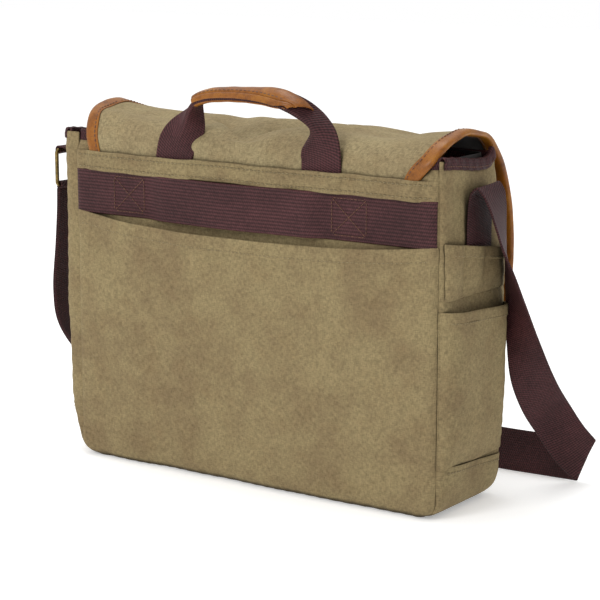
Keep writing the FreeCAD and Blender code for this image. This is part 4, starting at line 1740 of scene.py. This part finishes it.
@dataclass
class GussetPockets:
    """A phone pocket and three pen slots on the gusset away from the ring."""

    body: Body
    foot: float = 44.0
    phone_top: tuple[float, float] = (170.0, 176.0)
    phone_stand: float = 8.6
    pen_foot: float = 186.0
    pen_top: tuple[float, float] = (218.0, 232.0)
    pen_divides: tuple = (-47.0, -9.5, 22.9, 47.0)

    def gusset_x(self, y: Array, z: Array) -> Array:
        """x of the gusset's outer face at a place.

        Args:
            y: places from front to back.
            z: heights.

        Returns:
            x at each place.
        """
        back = self.body.back_at(z) - self.body.seam_in
        front = self.body.front_at(z) + self.body.seam_in
        w = np.clip((y - back) / (front - back), 0.0, 1.0)
        return self.body.strip(self.body.place_of(z, -1), w, 0.0, 2)[..., 0]

    def patch(self, y0: float, y1: float, foot: float, tops: tuple[float, float], stand: Callable) -> Shape:
        """A patch that stands off the gusset: stand gives how far at each share across and up.

        Args:
            y0: one edge.
            y1: the other edge.
            foot: its lower edge.
            tops: its upper edge at each side.
            stand: gives how far it stands off.

        Returns:
            The closed mesh.
        """
        k, v = np.meshgrid(spread(0, 1, 64), np.linspace(0, 1, 70))
        y = y0 + (y1 - y0) * k
        top = tops[0] + (tops[1] - tops[0]) * k
        z = foot + (top - foot) * v
        below = top - z
        fold = 0.5 * eased((9.5 - below) / 1.2)
        x = self.gusset_x(y, z) - 1.4 - stand(k, v) - fold - ripples(y, z, 41, 40, 0.35)
        return sheet(np.stack([x, y, z], -1), 1.3 + 0.9 * eased((9.5 - below) / 1.2))

    def phone_stands(self, k: Array, v: Array) -> Array:
        """The phone pocket stands out quickly beside its seams and most at its mouth."""
        across = (1 - np.abs(2 * k - 1) ** 5)
        return self.phone_stand * across * flowing(v, (0, 0.12, 0.5, 1), (0.05, 0.5, 0.85, 1.0))

    def pen_stands(self, k: Array, v: Array) -> Array:
        """Each pen slot is a small arch between two rows of stitches.

        Args:
            k: shares across.
            v: shares up.

        Returns:
            How far out the cloth stands.
        """
        divides = np.array(self.pen_divides)
        y = divides[0] + (divides[-1] - divides[0]) * k
        stand = np.zeros_like(k)
        for low, high in zip(divides[:-1], divides[1:]):
            share = np.clip((y - low) / (high - low), 0, 1)
            stand = stand + np.sin(math.pi * share) ** 0.6 * (3.4 + 0.05 * (high - low))
        return stand * flowing(v, (0, 0.25, 1), (0.1, 0.75, 1.0))

    def stitches(self) -> Shape:
        """Rows below both mouths and between the pen slots.

        Returns:
            The closed mesh.
        """
        rows = []
        for y0, y1, foot, tops, stand in (
            (-50.0, 49.5, self.foot, self.phone_top, self.phone_stands),
            (-47.0, 47.0, self.pen_foot, self.pen_top, self.pen_stands),
        ):
            k = np.linspace(0.03, 0.97, 60)
            top = tops[0] + (tops[1] - tops[0]) * k
            z, y = top - 8.0, y0 + (y1 - y0) * k
            v = (z - foot) / (top - foot)
            x = self.gusset_x(y, z) - 1.4 - stand(k, v) - 1.6
            path = np.stack([x, y, z], -1)
            rows.append(Seam(3.8, 2.9, 0.38).along(path, np.tile([-1.0, 0.0, 0.0], (60, 1))))
        for divide in self.pen_divides[1:-1]:
            k = (divide - self.pen_divides[0]) / (self.pen_divides[-1] - self.pen_divides[0])
            top = self.pen_top[0] + (self.pen_top[1] - self.pen_top[0]) * k
            z = np.linspace(self.pen_foot + 2, top - 1, 30)
            y = np.full(30, divide)
            path = np.stack([self.gusset_x(y, z) - 2.4, y, z], -1)
            rows.append(Seam(3.4, 2.7, 0.38).along(path, np.tile([-1.0, 0.0, 0.0], (30, 1))))
        return joined(rows)

    def build(self) -> None:
        """Makes both pockets and their stitches."""
        phone = self.patch(-50.0, 49.5, self.foot, self.phone_top, self.phone_stands)
        piece = make_piece("phone_pocket_canvas", phone, CANVAS, "bag", ["phone_pocket"])
        pens = self.patch(-47.0, 47.0, self.pen_foot, self.pen_top, self.pen_stands)
        piece = make_piece("pen_pocket_canvas", pens, CANVAS, "bag", ["pen_pocket"])
        make_piece("gusset_pocket_stitches", self.stitches(), KHAKI_THREAD, "bag")


# ---------------------------------------------------------------- front


@dataclass
class Front:
    """The patch pocket under the flap and the two magnetic snaps."""

    body: Body
    half: float = 150.0
    foot: float = 47.0
    top: float = 201.0

    def pocket(self) -> Shape:
        """The pocket: it bellows out from its stitched sides and foot by a rounded square.

        Returns:
            The closed mesh.
        """
        out = -box_mm("front_pocket")[0][1]
        k, v = np.meshgrid(spread(-1, 1, 90), np.linspace(0, 1, 80))
        x = k * self.half * (1 - 0.02 * (1 - v) ** 6)
        z = self.foot + (self.top - self.foot) * v
        share = (1 - np.abs(k) ** 14) * flowing(v, (0, 0.05, 0.2, 1), (0, 0.6, 1, 1))
        wall = self.body.front_at(z) - 0.9
        y = wall + (-(out - 0.9) - wall) * share
        return sheet(np.stack([x, y, z], -1), 1.5)

    def snap(self, x: float, y0: float, y1: float) -> Shape:
        """Half a magnetic snap: a turned disc with a rolled rim and a stepped middle.

        Args:
            x: its middle.
            y0: y of its flat side.
            y1: y of its rim.

        Returns:
            The closed mesh.
        """
        low, high = box_mm("snap_sockets")
        z = (low[2] + high[2]) / 2
        turn = np.linspace(0, 2 * math.pi, 36, endpoint=False)
        radius = np.array([1.0, 7.4, 8.5, 8.8, 8.5, 7.6, 7.0, 4.6, 4.2, 1.0])
        depth = np.array([0.0, 0.0, 0.1, 0.5, 0.9, 1.0, 0.82, 0.8, 0.95, 0.95])
        across, up = radius[:, None] * np.cos(turn), radius[:, None] * np.sin(turn)
        y = (y0 + (y1 - y0) * depth)[:, None]
        return tube(np.stack(np.broadcast_arrays(x + across, y, z + up), -1))

    def build(self) -> None:
        """Makes the pocket and the snaps."""
        pocket = make_piece("front_pocket_canvas", self.pocket(), CANVAS, "bag", ["front_pocket"])
        low, high = box_mm("snap_sockets")
        reach = high[0] - 9.0
        sockets = joined([self.snap(x, high[1] - 0.2, low[1]) for x in (-reach, reach)])
        make_piece("snap_sockets_turned", sockets, BRASS, "bag", ["snap_sockets"])
        low, high = box_mm("snap_studs")
        studs = joined([self.snap(x, low[1] + 0.1, high[1]) for x in (-reach, reach)])
        make_piece("snap_studs_turned", studs, BRASS, "flap_hang", ["snap_studs"])


# ---------------------------------------------------------------- shoulder strap


@dataclass
class Strap:
    """The shoulder strap: sewn to one gusset, it curls out and falls to the floor, runs past the
    bag on its edge, rises to the ring, and comes back inside itself to the slide buckle.

    Each line is a list of the webbing's front edge and back edge at one place.
    """

    webbing: float = 1.6
    sewn: tuple = (
        ((-197.8, -21, 192), (-197.8, 17, 192)),
        ((-198.2, -21, 218), (-198.2, 17, 218)),
        ((-198.4, -21, 250), (-198.4, 17, 250)),
    )
    fall: tuple = (
        ((-199.4, -21, 265), (-199.4, 17, 264)),
        ((-201.2, -21, 274.0), (-201.6, 17, 272)),
        ((-205.0, -21, 277.0), (-206.0, 17, 275.4)),
        ((-208.8, -22, 272), (-211.5, 17, 271)),
        ((-210.0, -24, 261), (-215.5, 13.5, 261)),
        ((-209.0, -26.5, 243), (-218.5, 7.5, 245)),
        ((-206.0, -33, 222), (-222, 0, 224)),
        ((-202.5, -41, 197), (-226.5, -11, 202)),
        ((-200.0, -47.5, 172), (-229.5, -23, 179)),
        ((-199.8, -51, 133), (-231, -47, 143)),
        ((-201.0, -60, 96), (-231, -72, 110)),
        ((-203.0, -76, 70), (-231, -88, 92)),
        ((-206.0, -96, 47), (-231, -107, 74)),
        ((-222.0, -114, 14), (-241, -122, 49)),
        ((-231.5, -122, 2.0), (-247, -128.5, 39)),
    )
    lean: float = 0.6
    floor_run: tuple = (
        (-200, -124, 0.8), (-160, -122, 0.8), (-90, -128, 1.5), (-20, -133, 4), (20, -134, 4),
        (104, -134, 4), (140, -131, 2.5),
    )
    rise: tuple = (
        ((178, -125, 0.8), (178, -120, 38.6)),
        ((210, -112, 1.2), (205, -101, 37.3)),
        ((234, -92, 8), (224, -69, 36.8)),
        ((248, -64, 30), (238, -36, 53.7)),
        ((253, -36, 70), (248, -2, 86)),
        ((252, -22, 110), (251, 15.5, 116)),
        ((251, -19, 142), (251, 19, 142)),
        ((246.5, -19, 190), (246.5, 19, 190)),
        ((243.6, -19, 226), (243.6, 19, 226)),
        ((243.2, -19, 240), (243.2, 19, 240)),
    )

    def floor_pairs(self) -> list:
        """The floor run as pairs of edges: the webbing stands on one edge, leaning a little."""
        return [((x, y - self.lean, up), (x, y + self.lean, up + 2 * 19.0)) for x, y, up in self.floor_run]

    def ribbon_grid(self, pairs: Sequence, count: int, shift: float = 0.0) -> Array:
        """The webbing's middle surface: both edges as smooth curves by distance, straight across.

        Args:
            pairs: the edges at each place.
            count: how many rows.
            shift: how far the whole is moved out of its own face.

        Returns:
            The grid, rows by 21 columns.
        """
        knots = np.array(pairs, float)
        far = lengths_along(knots.mean(1))
        t = np.linspace(0, far[-1], count)
        edges = flowing(t, far, knots.reshape(len(knots), 6)).reshape(count, 2, 3)
        k = np.linspace(0, 1, 21)[None, :, None]
        surface = edges[:, :1] * (1 - k) + edges[:, 1:] * k
        cup = 0.35 * np.sin(math.pi * k[..., 0]) * np.sin(t / 37)[:, None]
        return surface + grid_normals(surface) * (shift + cup[..., None])

    def cloth(self, surface: Array) -> Shape:
        """Webbing of a selvedge's extra thickness along both sides."""
        k = np.linspace(-1, 1, surface.shape[1])
        bead = 0.3 * (dented(k - 1, 0.14) + dented(k + 1, 0.14))
        return sheet(surface, self.webbing + bead[None])

    def loop(self, z: float, start: float, stop: float) -> Array:
        """Webbing round one of the ring's level bars, between two angles seen from the back.

        Args:
            z: the bar's height.
            start: the first angle, in degrees.
            stop: the last angle.

        Returns:
            The grid of points.
        """
        low, high = box_mm("strap_ring")
        x = (low[0] + high[0]) / 2
        turn = np.linspace(math.radians(start), math.radians(stop), 26)[:, None]
        reach = 1.8 + 0.35 + self.webbing / 2
        y = np.linspace(-19, 19, 21)[None]
        return np.stack(np.broadcast_arrays(x + reach * np.cos(turn), y, z + reach * np.sin(turn)), -1)

    def build(self) -> None:
        """Makes the strap in two lengths, its returning ply and the tab, and dresses the ring and the slider.
        """
        curl = Bend("bag", "strap", (-202.4, 0, 265), (-208.8, -1.3, 265))
        fall = self.cloth(self.ribbon_grid(self.sewn + self.fall, 260))
        piece = make_piece("strap_fall", fall, STRAP_WEBBING, curl, ["strap_anchor"])
        turn = (((-232.5, -123.4, 1.6), (-246.2, -128.4, 39.4)),)
        run = self.cloth(self.ribbon_grid(turn + tuple(self.floor_pairs()) + self.rise, 420))
        around = self.cloth(self.loop(box_mm("strap_ring")[0][2] + 1.8, 40, 320))
        piece = make_piece("strap_run", joined([run, around]), STRAP_WEBBING, "strap", ["shoulder_strap"])
        pairs = tuple(self.floor_pairs()[-2:]) + self.rise
        back = self.cloth(self.ribbon_grid(pairs, 220, self.inner_side() * (self.webbing + 0.35)))
        piece = make_piece("strap_return_ply", back, STRAP_WEBBING, "strap", ["strap_return"])
        self.tab()
        dress_node("strap_ring", BRASS)
        dress_node("strap_slider", BRASS)

    def inner_side(self) -> float:
        """Which side of the rise faces the bag: one if its grid's normals do, else minus one."""
        surface = self.ribbon_grid(self.rise, 60)
        return -1.0 if grid_normals(surface)[50, 10, 0] > 0 else 1.0

    def tab(self) -> None:
        """The tab that holds the ring: sewn up the gusset, out to the ring, round its top bar."""
        low, high = box_mm("strap_ring")
        x, z = (low[0] + high[0]) / 2, high[2] - 1.8
        reach = 1.8 + 0.35 + self.webbing / 2
        turn = np.radians(np.linspace(110, -150, 22))
        loop = np.stack([x + reach * np.cos(turn), z + reach * np.sin(turn)], -1)
        outward = np.array(
            [(212.2, 232), (212.4, 248), (212.9, 257), (215.0, 264), (219.5, 269), (227, 275), (234, 279.6)]
        )
        line = np.concatenate([outward, loop])
        far = lengths_along(line)
        t = np.linspace(0, far[-1], 150)
        xz = flowing(t, far, line)
        y = np.linspace(-19, 19, 21)[None]
        surface = np.stack(np.broadcast_arrays(xz[:, :1], y, xz[:, 1:]), -1)
        bend = Bend("bag", "strap", (213, 0, 265), (236, 0, 265))
        replaced = ["ring_tab", "ring_tab_anchor"]
        piece = make_piece("ring_tab_webbing", self.cloth(surface), STRAP_WEBBING, bend, replaced)


# ---------------------------------------------------------------- stage


@dataclass
class Studio:
    """A pale floor, soft lights and the camera."""

    camera_at: tuple[float, float, float] = (-1.003, 1.419, 0.501)
    yaw: float = 34.71
    pitch: float = 11.17
    lens: float = 120.0

    def floor(self) -> None:
        """A wide white floor."""
        mesh = bpy.data.meshes.new("studio_floor")
        size = 6.0
        corners = [(-size, -size, 0), (size, -size, 0), (size, size, 0), (-size, size, 0)]
        mesh.from_pydata(corners, [], [(0, 1, 2, 3)])
        mesh.materials.append(FLOOR.material())
        floor = bpy.data.objects.new("studio_floor", mesh)
        bpy.context.scene.collection.objects.link(floor)

    def light(self, name: str, at: tuple, size: float, power: float) -> None:
        """A square soft light that faces the bag's middle.

        Args:
            name: the light's name.
            at: its place, in metres.
            size: its side, in metres.
            power: its power, in watts.
        """
        lamp = bpy.data.lights.new(name, "AREA")
        lamp.size, lamp.energy = size, power
        lit = bpy.data.objects.new(name, lamp)
        bpy.context.scene.collection.objects.link(lit)
        aim = np.array([0.0, 0.0, 0.15]) - np.array(at)
        flat = math.hypot(aim[0], aim[1])
        lit.location = at
        lit.rotation_euler = (math.atan2(flat, -aim[2]), 0, math.atan2(-aim[0], aim[1]))

    def camera(self) -> None:
        """A long lens, a little above the bag, off its back corner."""
        lens = bpy.data.cameras.new("camera")
        lens.lens, lens.sensor_width, lens.clip_start = self.lens, 36.0, 0.05
        camera = bpy.data.objects.new("camera", lens)
        bpy.context.scene.collection.objects.link(camera)
        camera.location = self.camera_at
        camera.rotation_euler = (math.radians(90 - self.pitch), 0, math.radians(180 + self.yaw))
        bpy.context.scene.camera = camera

    def build(self) -> None:
        """Sets the stage."""
        self.camera()
        self.floor()
        world = bpy.data.worlds.new("studio")
        world.use_nodes = True
        sky = world.node_tree.nodes["Background"]
        sky.inputs["Color"].default_value = linear("#FFFFFF")
        rays = add_node(world.node_tree, "LightPath")
        seen = add_node(
            world.node_tree, "MapRange",
            {"Value": rays.outputs["Is Camera Ray"], "To Min": 0.78, "To Max": 1.0},
        )
        world.node_tree.links.new(seen.outputs[0], sky.inputs["Strength"])
        scene = bpy.context.scene
        scene.world = world
        scene.view_settings.view_transform = "Standard"
        self.light("key", (0.4, 2.3, 1.7), 0.9, 26)
        self.light("top", (0.4, -0.2, 2.2), 1.0, 16)


def main() -> None:
    """Builds the stage and then the bag, from its shell outwards."""
    logging.basicConfig(level=logging.INFO, format="%(name)s: %(message)s")
    Studio().build()
    body = Body()
    body.build()
    Inside(body).build()
    BackDetails(body).build()
    Flap().build()
    MouthBinding(body).build()
    Handle().build()
    GussetPockets(body).build()
    Front(body).build()
    Strap().build()


if __name__ == "__main__":
    main()
